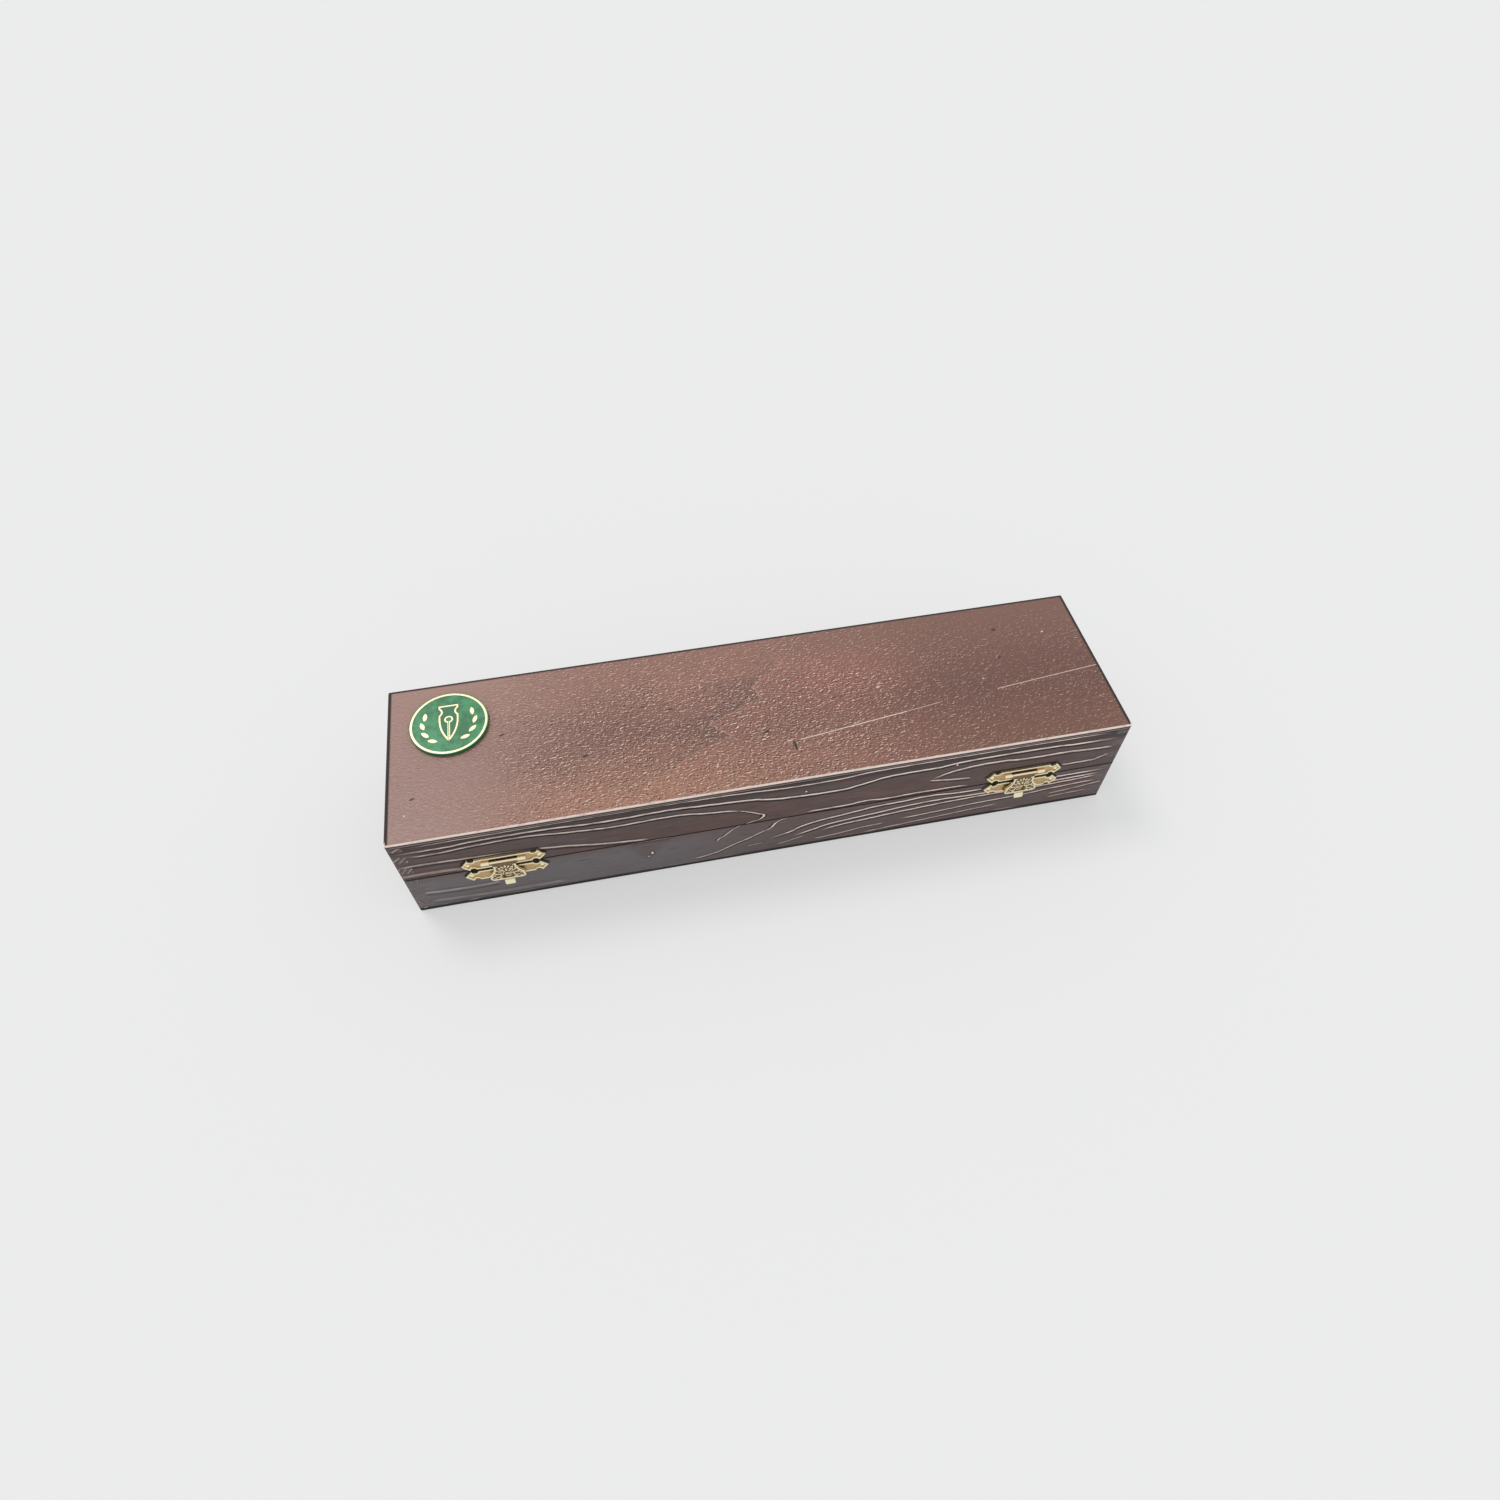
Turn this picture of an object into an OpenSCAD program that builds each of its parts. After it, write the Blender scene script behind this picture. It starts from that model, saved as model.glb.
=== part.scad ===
// Long wooden case for fountain pens.
// Finger-jointed walls between a thin top panel and a bottom panel, parted into
// a lid and a base, with two let-in butt hinges at the back and two stamped
// clasps on the front.  Inside are a fluted pen tray and a padded lid.
// The origin is the middle of the underside, the front faces -Y, +Z is up.

/* [Case] */
// Length of the case
case_l = 300; // [240:1:340]
// Depth of the case from front to back
case_d = 77.4; // [74:0.2:96]
// Height of the closed case, without the badge
case_h = 51.4; // [48:0.2:64]
// Thickness of the four walls
wall_t = 6; // [5:0.5:8]
// Thickness of the thin panel glued on top
top_t = 2; // [1.6:0.1:4]
// Thickness of the bottom panel
bottom_t = 3; // [2:0.5:5]
// Height of the cut that parts the lid from the base
seam_z = 25.4; // [24.6:0.2:27]
// Gap left by that cut
seam_gap = 0.3; // [0.2:0.05:0.6]
// Rounding of the upright corners
corner_r = 1.6; // [0.5:0.1:3]
// Rounding of the top panel's upper edge
top_edge_r = 1.2; // [0.4:0.1:1.5]
// Rounding of the bottom panel's lower edge
bottom_edge_r = 0.8; // [0.3:0.1:1.5]

/* [Finger joints] */
// Height of one finger
finger_w = 4.1; // [3:0.1:6]
// Distance from one finger of the end walls to the next
finger_pitch = 8.2; // [7:0.1:12]
// Height of the middle of the lowest finger above the underside
finger_first = 7.7; // [6:0.1:10]
// A finger that the parting cut leaves lower than this is left out
finger_min = 1; // [0.5:0.1:2]

/* [Pen tray] */
// Number of pen flutes side by side
flute_count = 3; // [2:1:3]
// Radius of a flute's round bottom
flute_r = 8.5; // [6:0.25:9]
// Width of the ridge between two flutes
flute_ridge = 2.5; // [2:0.25:4]
// How far a flute's axis lies below the top of the tray
flute_sink = 2.5; // [0:0.25:4]
// Width of the tray left beyond each end of a flute
flute_end = 8.7; // [4:0.1:40]
// How far the top of the tray lies below the rim of the base
tray_drop = 3; // [2:0.25:6]
// Clearance of the tray and the pad to the walls
lining_gap = 0.3; // [0.2:0.05:0.6]
// Radius of the hollow that fingers reach into, across the flutes
scoop_r = 16; // [12:0.5:20]
// Depth of that hollow below the top of the tray
scoop_depth = 9; // [6:0.5:10]

/* [Lid pad] */
// Thickness of the padded lining in the lid
pad_t = 10; // [6:0.5:13]
// Rounding of the pad's lower edge
pad_edge_r = 4; // [2:0.25:5]
// Rounding of the upright corners of tray and pad
lining_corner_r = 2; // [0.5:0.25:4]

/* [Hinges] */
// Distance from an end of the case to the middle of the hinge near it
hinge_from_end = 55; // [40:1:80]
// Length of a hinge
hinge_l = 24; // [18:0.5:30]
// Depth to which a leaf is let into the rim of the back wall
leaf_reach = 4.9; // [4:0.1:5]
// Thickness of a leaf
leaf_t = 0.8; // [0.6:0.05:1]
// Outer radius of the knuckles
knuckle_r = 1.6; // [1.4:0.05:2]
// Radius of the hinge pin
hinge_pin_r = 0.8; // [0.6:0.05:0.9]
// Number of knuckles on a hinge
knuckle_count = 5; // [3:2:7]
// Gap between two knuckles, and between a knuckle and the back wall
knuckle_gap = 0.3; // [0.2:0.05:0.5]
// Distance between the two screws of a leaf
hinge_screw_span = 15; // [12:0.5:16]

/* [Clasps] */
// Distance from an end of the case to the middle of the clasp near it
clasp_from_end = 41.4; // [30:0.2:80]
// How far both clasps are fixed to the left of those even places
clasp_shift = 1.1; // [0:0.1:3]
// Width of the two plates of a clasp, tip to tip
plate_w = 33; // [30:0.5:36]
// Thickness of the stamped sheet
sheet_t = 0.6; // [0.5:0.05:0.8]
// Height of the bead that runs round a plate
bead_h = 0.5; // [0.3:0.05:0.6]
// Width of that bead
bead_w = 0.7; // [0.5:0.05:0.9]
// Height of the lid's plate
lid_plate_h = 6.5; // [5.8:0.1:7]
// Distance from the parting line up to the lid's plate
lid_plate_rise = 1.6; // [0.4:0.1:2]
// Height of the base's plate
base_plate_h = 6.1; // [5.8:0.1:7]
// Distance from the parting line down to the base's plate
base_plate_drop = 0.3; // [0.3:0.1:1]
// Distance from the middle of a plate to the peaks at its ends
peak_x = 13.9; // [13.4:0.1:14.6]
// Distance from the middle of a plate to the scallops beside them
scallop_x = 12.2; // [11.8:0.1:12.6]
// Radius of a scallop
scallop_r = 1.2; // [0.9:0.05:1.4]
// Distance from the middle of a plate to its brads
brad_x = 14; // [13.6:0.1:14.2]
// Height of the catch above the lower edge of the base's plate
catch_rise = 1.6; // [1.4:0.1:2]

/* [Clasp flaps] */
// Height of the clasp's wire above the parting line
wire_rise = 4.8; // [4.2:0.1:5]
// Radius of the wire
wire_r = 0.45; // [0.35:0.05:0.5]
// Outer radius of the sheet rolled round the wire
roll_r = 0.95; // [0.9:0.05:1.1]
// Width of the flap's roll
flap_roll_w = 10.5; // [9:0.1:11]
// Width of one ear of the plate
ear_w = 3.2; // [2.5:0.1:3.5]
// Thickness of the flap's sheet
flap_t = 0.5; // [0.4:0.05:0.6]
// Height of the flap's embossed border
emboss_h = 0.4; // [0.2:0.05:0.5]
// Distance from the wire down to the flap's lower edge
flap_l = 12.1; // [11:0.1:13]
// Width of the flap at its lower end
flap_w = 14.2; // [13:0.1:16]
// Width of the flap at its neck
neck_w = 8.8; // [8:0.1:9.4]
// Distance from the wire down to the neck
neck_drop = 2.9; // [2.4:0.1:3.4]
// Distance from the wire down to where the flap is widest
skirt_drop = 8.2; // [7.6:0.1:8.6]
// Rounding of the flap's lower corners
flap_corner_r = 1.5; // [1:0.1:1.9]
// Radius of the notch in each side of the flap
notch_r = 0.5; // [0.3:0.05:0.6]
// Distance from the wire down to that notch
notch_drop = 9.2; // [9:0.1:9.6]
// Width of the finger tab
tab_w = 4; // [3:0.1:5]
// Length of the finger tab
tab_l = 3.4; // [3:0.1:4]
// Angle by which the finger tab leans outward
tab_lean = 15; // [0:1:20]
// Width of the slot over the catch
slot_w = 3.6; // [3:0.1:4]
// Height of that slot
slot_h = 2.2; // [2:0.1:2.4]
// Width of the catch on the base's plate
catch_w = 2.6; // [2:0.1:3]
// Height of the catch
catch_h = 1.3; // [1:0.1:1.5]
// Gap between the catch and the back of the flap
catch_gap = 0.25; // [0.2:0.05:0.4]

/* [Badge] */
// Radius of the badge
badge_r = 16; // [12:0.25:17]
// Total thickness of the badge
badge_t = 1.5; // [1.2:0.1:2]
// Thickness of the badge's back
badge_back_t = 0.5; // [0.4:0.05:0.8]
// Width of its raised rim
badge_rim_w = 1.3; // [0.8:0.1:2]
// How far the enamel lies below the rim and the raised motif
enamel_drop = 0.2; // [0.1:0.05:0.4]
// Distance from the left end of the case to the middle of the badge
badge_from_left = 25.3; // [18:0.1:60]
// Distance from the front of the case to the middle of the badge
badge_from_front = 54.3; // [40:0.1:56]

/* [Fasteners and fits] */
// Shank radius of the brads and hinge screws
brad_r = 0.6; // [0.5:0.05:0.7]
// Length of the shank
brad_l = 5; // [3.5:0.1:5]
// Head radius of a brad
brad_head_r = 0.9; // [0.8:0.05:1]
// Height of a brad's domed head
brad_head_h = 0.5; // [0.3:0.05:0.7]
// Head radius of a hinge screw
screw_head_r = 1.2; // [1:0.05:1.4]
// Radial clearance of a pin in the knuckles that turn on it
running_gap = 0.05; // [0.03:0.01:0.09]
// Clearance of a piece that is driven or let in
seat_gap = 0.02; // [0.01:0.01:0.05]

/* [Hidden] */
$fn = 48;

eps = 0.01;
left = -1;
right = 1;
front = -1;
back = 1;

// Heights of the walls' ends
base_rim_z = seam_z - seam_gap/2;
lid_rim_z = seam_z + seam_gap/2;
wall_top_z = case_h - top_t;

// Room between the walls
room_l = case_l - 2*wall_t;
room_d = case_d - 2*wall_t;
lining_l = room_l - 2*lining_gap;
lining_d = room_d - 2*lining_gap;

// Tray
tray_top_z = base_rim_z - tray_drop;
flute_pitch = 2*flute_r + flute_ridge;
flute_axis_z = tray_top_z - flute_sink;
flute_run = lining_l - 2*flute_end - 2*flute_r;
flute_band = (flute_count - 1)*flute_pitch + 2*flute_r;

// Hinges: the axis lies behind the back wall, at the height of the parting line
hinge_x = case_l/2 - hinge_from_end;
hinge_axis_y = case_d/2 + knuckle_r + knuckle_gap;
knuckle_l = (hinge_l - (knuckle_count - 1)*knuckle_gap)/knuckle_count;
hinge_screw_y = case_d/2 - leaf_reach/2;
screw_head_h = screw_head_r - brad_r;

// Clasps, in a frame whose XZ plane is the case's front
clasp_x = case_l/2 - clasp_from_end;
wire_y = -(roll_r + 0.1);
wire_z = seam_z + wire_rise;
roll_gap = 0.3;
wire_l = flap_roll_w + 2*roll_gap + 2*ear_w;
flap_back_y = wire_y - roll_r + flap_t;
flap_front_y = wire_y - roll_r;
lid_plate_z = [seam_z + lid_plate_rise, seam_z + lid_plate_rise + lid_plate_h];
base_plate_z = [seam_z - base_plate_drop - base_plate_h, seam_z - base_plate_drop];
lid_tip_z = lid_plate_z[0] + 0.44*lid_plate_h;
base_tip_z = base_plate_z[0] + 0.5*base_plate_h;
catch_z = base_plate_z[0] + catch_rise;

// Badge
badge_x = -case_l/2 + badge_from_left;
badge_y = -case_d/2 + badge_from_front;
nib_l = 1.18*badge_r;

// ---------------------------------------------------------------- shapes

// Flat outline with four rounded corners, centred on the origin
module rounded_outline(l, d, r) {
    square([l - 2*r, d], center = true);
    square([l, d - 2*r], center = true);
    for (sx = [-1, 1], sy = [-1, 1])
        translate([sx*(l/2 - r), sy*(d/2 - r)]) circle(r = r);
}

// End view of a slab whose two upper edges are rounded
module eased_profile(w, t, edge) {
    translate([-w/2, 0]) square([w, t - edge]);
    translate([-w/2 + edge, 0]) square([w - 2*edge, t]);
    for (s = [-1, 1])
        translate([s*(w/2 - edge), t - edge]) circle(r = edge);
}

// Slab on z = 0 with rounded upright corners and a rounded upper edge
module eased_slab(l, d, t, corner, edge) {
    intersection() {
        linear_extrude(t) rounded_outline(l, d, corner);
        rotate([90, 0, 0]) translate([0, 0, -d/2])
            linear_extrude(d) eased_profile(l, t, edge);
        rotate([90, 0, 90]) translate([0, 0, -l/2])
            linear_extrude(l) eased_profile(d, t, edge);
    }
}

// The case's plan between two heights
module case_prism(z0, z1) {
    translate([0, 0, z0]) linear_extrude(z1 - z0)
        rounded_outline(case_l, case_d, corner_r);
}

// ---------------------------------------------------------- finger joints

// Lower and upper end of each end-wall finger between two heights
function finger_spans(z0, z1) = [
    for (zc = [finger_first : finger_pitch : z1 + finger_w/2])
        let (lo = max(z0, zc - finger_w/2), hi = min(z1, zc + finger_w/2))
            if (hi - lo >= finger_min) [lo, hi]
];

// The fingers of an end wall at both corners of one long side
module fingers(sx, sy, z0, z1) {
    for (span = finger_spans(z0, z1))
        translate([sx*(case_l - wall_t)/2, sy*(case_d - wall_t)/2, (span[0] + span[1])/2])
            cube([wall_t, wall_t, span[1] - span[0]], center = true);
}

// Front or back wall: full length, with sockets for the end walls' fingers
module long_wall(sy, z0, z1) {
    intersection() {
        difference() {
            translate([0, sy*(case_d - wall_t)/2, (z0 + z1)/2])
                cube([case_l, wall_t, z1 - z0], center = true);
            for (sx = [left, right]) fingers(sx, sy, z0, z1);
        }
        case_prism(z0, z1);
    }
}

// End wall: stands between the long walls and reaches through them in fingers
module end_wall(sx, z0, z1) {
    intersection() {
        union() {
            translate([sx*(case_l - wall_t)/2, 0, (z0 + z1)/2])
                cube([wall_t, room_d, z1 - z0], center = true);
            for (sy = [front, back]) fingers(sx, sy, z0, z1);
        }
        case_prism(z0, z1);
    }
}

// ----------------------------------------------------------------- hinges

// Places its children at each hinge
module at_hinge(side) {
    translate([side*hinge_x, 0, 0]) children();
}

// Recess for one leaf in a rim; up is 1 for the lid's rim and -1 for the base's
module leaf_recess(up) {
    translate([0, case_d/2 - leaf_reach/2, seam_z + up*(seam_gap/2 + leaf_t/2)])
        cube([hinge_l + 2*seat_gap, leaf_reach + 2*seat_gap, leaf_t + eps], center = true);
    translate([0, case_d/2, seam_z + up*(seam_gap/2 + leaf_t/2)])
        cube([hinge_l + 2*seat_gap, 1, leaf_t + eps], center = true);
}

// One screw of a leaf, grown by a clearance to make its hole
module hinge_screw(up, grow) {
    head_z = seam_z + up*seam_gap/2;
    translate([0, hinge_screw_y, head_z]) rotate([up > 0 ? 0 : 180, 0, 0]) {
        cylinder(r1 = screw_head_r + grow, r2 = brad_r + grow, h = screw_head_h);
        cylinder(r = brad_r + grow, h = screw_head_h + brad_l + grow);
    }
}

// The two screws of a leaf
module leaf_screws(up, grow) {
    for (s = [-1, 1]) translate([s*hinge_screw_span/2, 0, 0]) hinge_screw(up, grow);
}

// Middle of the knuckle with the given number, along the hinge
function knuckle_mid(i) = -hinge_l/2 + knuckle_l/2 + i*(knuckle_l + knuckle_gap);

// Leaf with the knuckles of the given parity rolled round the pin
module hinge_leaf(up, parity, bore_gap) {
    leaf_z = seam_z + up*(seam_gap/2 + leaf_t/2);
    difference() {
        union() {
            translate([0, case_d/2 - leaf_reach/2, leaf_z])
                cube([hinge_l, leaf_reach, leaf_t], center = true);
            for (i = [parity : 2 : knuckle_count - 1])
                translate([knuckle_mid(i), 0, 0]) {
                    translate([-knuckle_l/2, case_d/2 - eps, leaf_z - leaf_t/2])
                        cube([knuckle_l, hinge_axis_y - case_d/2 + eps, leaf_t]);
                    translate([-knuckle_l/2, hinge_axis_y, seam_z])
                        rotate([0, 90, 0]) cylinder(r = knuckle_r, h = knuckle_l);
                }
        }
        translate([-hinge_l, hinge_axis_y, seam_z])
            rotate([0, 90, 0]) cylinder(r = hinge_pin_r + bore_gap, h = 2*hinge_l);
        leaf_screws(up, seat_gap);
    }
}

// ----------------------------------------------------------------- clasps

// Places its children at a clasp, in the clasp's own frame
module at_clasp(side) {
    translate([side*clasp_x - clasp_shift, -case_d/2, 0]) children();
}

// Turns a flat outline, drawn with height as its second axis, to stand on the
// case's front; it reaches outward from y = -from by the given thickness
module on_front(from, thickness) {
    translate([0, -from, 0]) rotate([90, 0, 0]) linear_extrude(thickness) children();
}

// Outline of a plate: pointed ends, and scallops beside the peaks
module plate_outline(z, tip_z, inset) {
    peak = peak_x - 0.6*inset;
    tip = plate_w/2 - 1.5*inset;
    difference() {
        polygon([
            [tip, tip_z], [peak, z[1] - inset], [-peak, z[1] - inset],
            [-tip, tip_z], [-peak, z[0] + inset], [peak, z[0] + inset]
        ]);
        for (s = [-1, 1], h = z)
            translate([s*scallop_x, h]) circle(r = scallop_r + inset);
    }
}

// Stamped plate with a bead round its edge
module stamped_plate(z, tip_z) {
    on_front(0, sheet_t) plate_outline(z, tip_z, 0);
    on_front(0, sheet_t + bead_h) difference() {
        plate_outline(z, tip_z, 0);
        plate_outline(z, tip_z, bead_w);
    }
}

// The two brads of a plate, grown by a clearance to make their holes
module plate_brads(tip_z, grow) {
    for (s = [-1, 1])
        translate([s*brad_x, 0, tip_z]) rotate([-90, 0, 0])
            translate([0, 0, -sheet_t]) cylinder(r = brad_r + grow, h = sheet_t + brad_l + grow);
}

// Domed heads of those two brads
module brad_heads(tip_z) {
    dome_r = (brad_head_r*brad_head_r + brad_head_h*brad_head_h)/(2*brad_head_h);
    for (s = [-1, 1])
        translate([s*brad_x, -sheet_t, tip_z]) rotate([90, 0, 0])
            intersection() {
                translate([0, 0, brad_head_h - dome_r]) sphere(r = dome_r);
                cylinder(r = brad_head_r, h = brad_head_h);
            }
}

// The wire's cylinder over a length, about the middle of the clasp
module about_wire(r, l) {
    translate([-l/2, wire_y, wire_z]) rotate([0, 90, 0]) cylinder(r = r, h = l);
}

// Plate on the lid, with the two ears that hold the wire
module clasp_plate() {
    difference() {
        union() {
            difference() {
                stamped_plate(lid_plate_z, lid_tip_z);
                translate([0, -sheet_t, wire_z])
                    cube([wire_l + 2*seat_gap, 4*sheet_t, 2*roll_r + 2*roll_gap], center = true);
            }
            for (s = [-1, 1])
                translate([s*(flap_roll_w/2 + roll_gap + ear_w/2), 0, 0]) {
                    about_wire(roll_r, ear_w);
                    translate([0, -sheet_t/2, wire_z])
                        cube([ear_w, sheet_t, 2*roll_r + 2*roll_gap + 2*eps], center = true);
                }
        }
        about_wire(wire_r + seat_gap, 2*wire_l);
        plate_brads(lid_tip_z, seat_gap);
    }
}

// Plate on the base, with the catch that the flap's slot goes over
module catch_plate() {
    difference() {
        union() {
            stamped_plate(base_plate_z, base_tip_z);
            translate([-catch_w/2, flap_back_y + catch_gap, catch_z - catch_h/2])
                cube([catch_w, -flap_back_y - catch_gap - sheet_t + eps, catch_h]);
        }
        plate_brads(base_tip_z, seat_gap);
    }
}

// Bell-shaped outline of the flap, drawn in by an inset
module flap_outline(inset) {
    spread = (flap_w - neck_w)/2;
    fall = skirt_drop - neck_drop;
    flank_r = (spread*spread + fall*fall)/(2*spread);
    low_z = wire_z - flap_l + inset;
    half_w = flap_w/2 - inset;
    r = flap_corner_r - inset/2;
    difference() {
        union() {
            translate([-half_w, low_z + r]) square([2*half_w, wire_z - low_z - r]);
            translate([-half_w + r, low_z]) square([2*half_w - 2*r, r + eps]);
            for (s = [-1, 1]) translate([s*(half_w - r), low_z + r]) circle(r = r);
        }
        for (s = [-1, 1])
            translate([s*(neck_w/2 + flank_r), wire_z - neck_drop])
                circle(r = flank_r + inset, $fn = 180);
        for (s = [-1, 1])
            translate([s*flap_w/2, wire_z - notch_drop]) circle(r = notch_r + inset);
    }
}

// Hinged flap with its roll, embossed border, slot and finger tab
module clasp_flap() {
    low_z = wire_z - flap_l;
    difference() {
        union() {
            about_wire(roll_r, flap_roll_w);
            on_front(-flap_back_y, flap_t) flap_outline(0);
            on_front(-flap_back_y, flap_t + emboss_h) difference() {
                flap_outline(0);
                flap_outline(bead_w);
                translate([-flap_w, wire_z - roll_r - 1]) square([2*flap_w, 2*flap_l]);
            }
            translate([-tab_w/2, flap_front_y, low_z + eps])
                rotate([-tab_lean, 0, 0]) translate([0, 0, -tab_l]) cube([tab_w, flap_t, tab_l + 0.3]);
        }
        about_wire(wire_r + running_gap, 2*wire_l);
        translate([-slot_w/2, flap_front_y - 2*emboss_h, catch_z - slot_h/2])
            cube([slot_w, 2*flap_t + 3*emboss_h, slot_h]);
    }
}

// ------------------------------------------------------------------ badge

// Pen nib seen flat, its point towards -Y, with breather hole and slit
module nib_outline() {
    shoulder_w = 0.5*badge_r;
    body_l = 0.4*nib_l;
    tine_l = nib_l - body_l;
    r = (tine_l*tine_l + shoulder_w*shoulder_w/4)/shoulder_w;
    difference() {
        translate([0, nib_l/2]) union() {
            translate([-shoulder_w/2, -body_l]) square([shoulder_w, body_l]);
            translate([0, -body_l]) intersection() {
                translate([r - shoulder_w/2, 0]) circle(r = r, $fn = 120);
                translate([-r + shoulder_w/2, 0]) circle(r = r, $fn = 120);
                translate([-shoulder_w/2, -tine_l]) square([shoulder_w, tine_l + eps]);
            }
        }
        translate([0, nib_l/2 - body_l]) circle(r = 0.07*badge_r);
        translate([-0.15, -nib_l/2]) square([0.3, nib_l - body_l]);
        for (s = [-1, 1])
            translate([s*shoulder_w*0.62, nib_l/2 - 0.45*body_l]) circle(r = 0.24*shoulder_w);
    }
}

// Pointed leaf, from the origin along +Y
module leaf_shape(l, w) {
    r = (l*l/4 + w*w/4)/w;
    intersection() {
        translate([r - w/2, l/2]) circle(r = r);
        translate([-r + w/2, l/2]) circle(r = r);
    }
}

// Two sprays of leaves, one on each side of the nib
module badge_leaves() {
    for (s = [-1, 1], k = [0 : 3])
        rotate(s*(38 + 26*k)) translate([0, -0.66*badge_r]) rotate(s*70)
            translate([0, -0.13*badge_r]) leaf_shape(0.26*badge_r, 0.11*badge_r);
}

module badge_relief() {
    nib_outline();
    badge_leaves();
}

// ------------------------------------------------------------------ nodes

module bottom_panel() {
    color("#3a2a24") translate([0, 0, bottom_t]) mirror([0, 0, 1])
        eased_slab(case_l, case_d, bottom_t, corner_r, bottom_edge_r);
}

module base_front_wall() {
    color("#4a3c38") difference() {
        long_wall(front, bottom_t, base_rim_z);
        for (side = [left, right]) at_clasp(side) plate_brads(base_tip_z, seat_gap);
    }
}

module base_back_wall() {
    color("#4a3c38") difference() {
        long_wall(back, bottom_t, base_rim_z);
        for (side = [left, right]) at_hinge(side) {
            leaf_recess(-1);
            leaf_screws(-1, seat_gap);
        }
    }
}

module base_end_wall(side) {
    color("#453733") end_wall(side, bottom_t, base_rim_z);
}

// Flock-covered tray with round-bottomed flutes and a hollow for the fingers
module pen_tray() {
    color("#1d3a2c") difference() {
        translate([0, 0, bottom_t]) linear_extrude(tray_top_z - bottom_t)
            rounded_outline(lining_l, lining_d, lining_corner_r);
        for (i = [0 : flute_count - 1])
            translate([0, (i - (flute_count - 1)/2)*flute_pitch, flute_axis_z]) {
                translate([-flute_run/2, 0, 0]) rotate([0, 90, 0])
                    cylinder(r = flute_r, h = flute_run);
                translate([-flute_run/2, -flute_r, 0])
                    cube([flute_run, 2*flute_r, flute_sink + 1]);
                for (s = [-1, 1]) translate([s*flute_run/2, 0, 0]) {
                    sphere(r = flute_r);
                    cylinder(r = flute_r, h = flute_sink + 1);
                }
            }
        translate([0, -flute_band/2, tray_top_z - scoop_depth + scoop_r])
            rotate([-90, 0, 0]) cylinder(r = scoop_r, h = flute_band);
    }
}

module base_hinge_leaf(side) {
    color("#b08d3c") at_hinge(side) hinge_leaf(-1, 0, seat_gap);
}

module lid_hinge_leaf(side) {
    color("#b08d3c") at_hinge(side) hinge_leaf(1, 1, running_gap);
}

module hinge_pin(side) {
    color("#a8863a") at_hinge(side) translate([-hinge_l/2, hinge_axis_y, seam_z])
        rotate([0, 90, 0]) cylinder(r = hinge_pin_r, h = hinge_l);
}

module base_hinge_screws() {
    color("#c0a050") for (side = [left, right]) at_hinge(side) leaf_screws(-1, 0);
}

module lid_hinge_screws() {
    color("#c0a050") for (side = [left, right]) at_hinge(side) leaf_screws(1, 0);
}

module top_panel() {
    color("#7b5546") translate([0, 0, wall_top_z])
        eased_slab(case_l, case_d, top_t, corner_r, top_edge_r);
}

module lid_front_wall() {
    color("#4a3c38") difference() {
        long_wall(front, lid_rim_z, wall_top_z);
        for (side = [left, right]) at_clasp(side) plate_brads(lid_tip_z, seat_gap);
    }
}

module lid_back_wall() {
    color("#4a3c38") difference() {
        long_wall(back, lid_rim_z, wall_top_z);
        for (side = [left, right]) at_hinge(side) {
            leaf_recess(1);
            leaf_screws(1, seat_gap);
        }
    }
}

module lid_end_wall(side) {
    color("#453733") end_wall(side, lid_rim_z, wall_top_z);
}

module lid_pad() {
    color("#234534") translate([0, 0, wall_top_z]) mirror([0, 0, 1])
        eased_slab(lining_l, lining_d, pad_t, lining_corner_r, pad_edge_r);
}

module clasp_plate_at(side) {
    color("#d9c27c") at_clasp(side) clasp_plate();
}

module catch_plate_at(side) {
    color("#d9c27c") at_clasp(side) catch_plate();
}

module clasp_plate_brads() {
    color("#cbb26a") for (side = [left, right]) at_clasp(side) {
        plate_brads(lid_tip_z, 0);
        brad_heads(lid_tip_z);
    }
}

module catch_plate_brads() {
    color("#cbb26a") for (side = [left, right]) at_clasp(side) {
        plate_brads(base_tip_z, 0);
        brad_heads(base_tip_z);
    }
}

module clasp_wire(side) {
    color("#bfa45a") at_clasp(side) about_wire(wire_r, wire_l);
}

module clasp_flap_at(side) {
    color("#e2cd8a") at_clasp(side) clasp_flap();
}

// Gilt body of the badge: back, rim and raised motif in one casting
module badge_plate() {
    color("#d8c98e") translate([badge_x, badge_y, case_h]) {
        cylinder(r = badge_r, h = badge_back_t);
        difference() {
            cylinder(r = badge_r, h = badge_t);
            translate([0, 0, badge_back_t]) cylinder(r = badge_r - badge_rim_w, h = badge_t);
        }
        linear_extrude(badge_t) badge_relief();
    }
}

// Enamel that fills the badge between rim and motif
module badge_enamel() {
    color("#3f8f5c") translate([badge_x, badge_y, case_h + badge_back_t])
        linear_extrude(badge_t - badge_back_t - enamel_drop) difference() {
            circle(r = badge_r - badge_rim_w);
            badge_relief();
        }
}

bottom_panel();
base_front_wall();
base_back_wall();
base_end_wall(left);  // base_left_wall
base_end_wall(right);  // base_right_wall
pen_tray();
base_hinge_leaf(left);  // base_hinge_leaf_left
base_hinge_leaf(right);  // base_hinge_leaf_right
hinge_pin(left);  // hinge_pin_left
hinge_pin(right);  // hinge_pin_right
base_hinge_screws();
catch_plate_at(left);  // catch_plate_left
catch_plate_at(right);  // catch_plate_right
catch_plate_brads();
top_panel();
lid_front_wall();
lid_back_wall();
lid_end_wall(left);  // lid_left_wall
lid_end_wall(right);  // lid_right_wall
lid_pad();
lid_hinge_leaf(left);  // lid_hinge_leaf_left
lid_hinge_leaf(right);  // lid_hinge_leaf_right
lid_hinge_screws();
clasp_plate_at(left);  // clasp_plate_left
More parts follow.
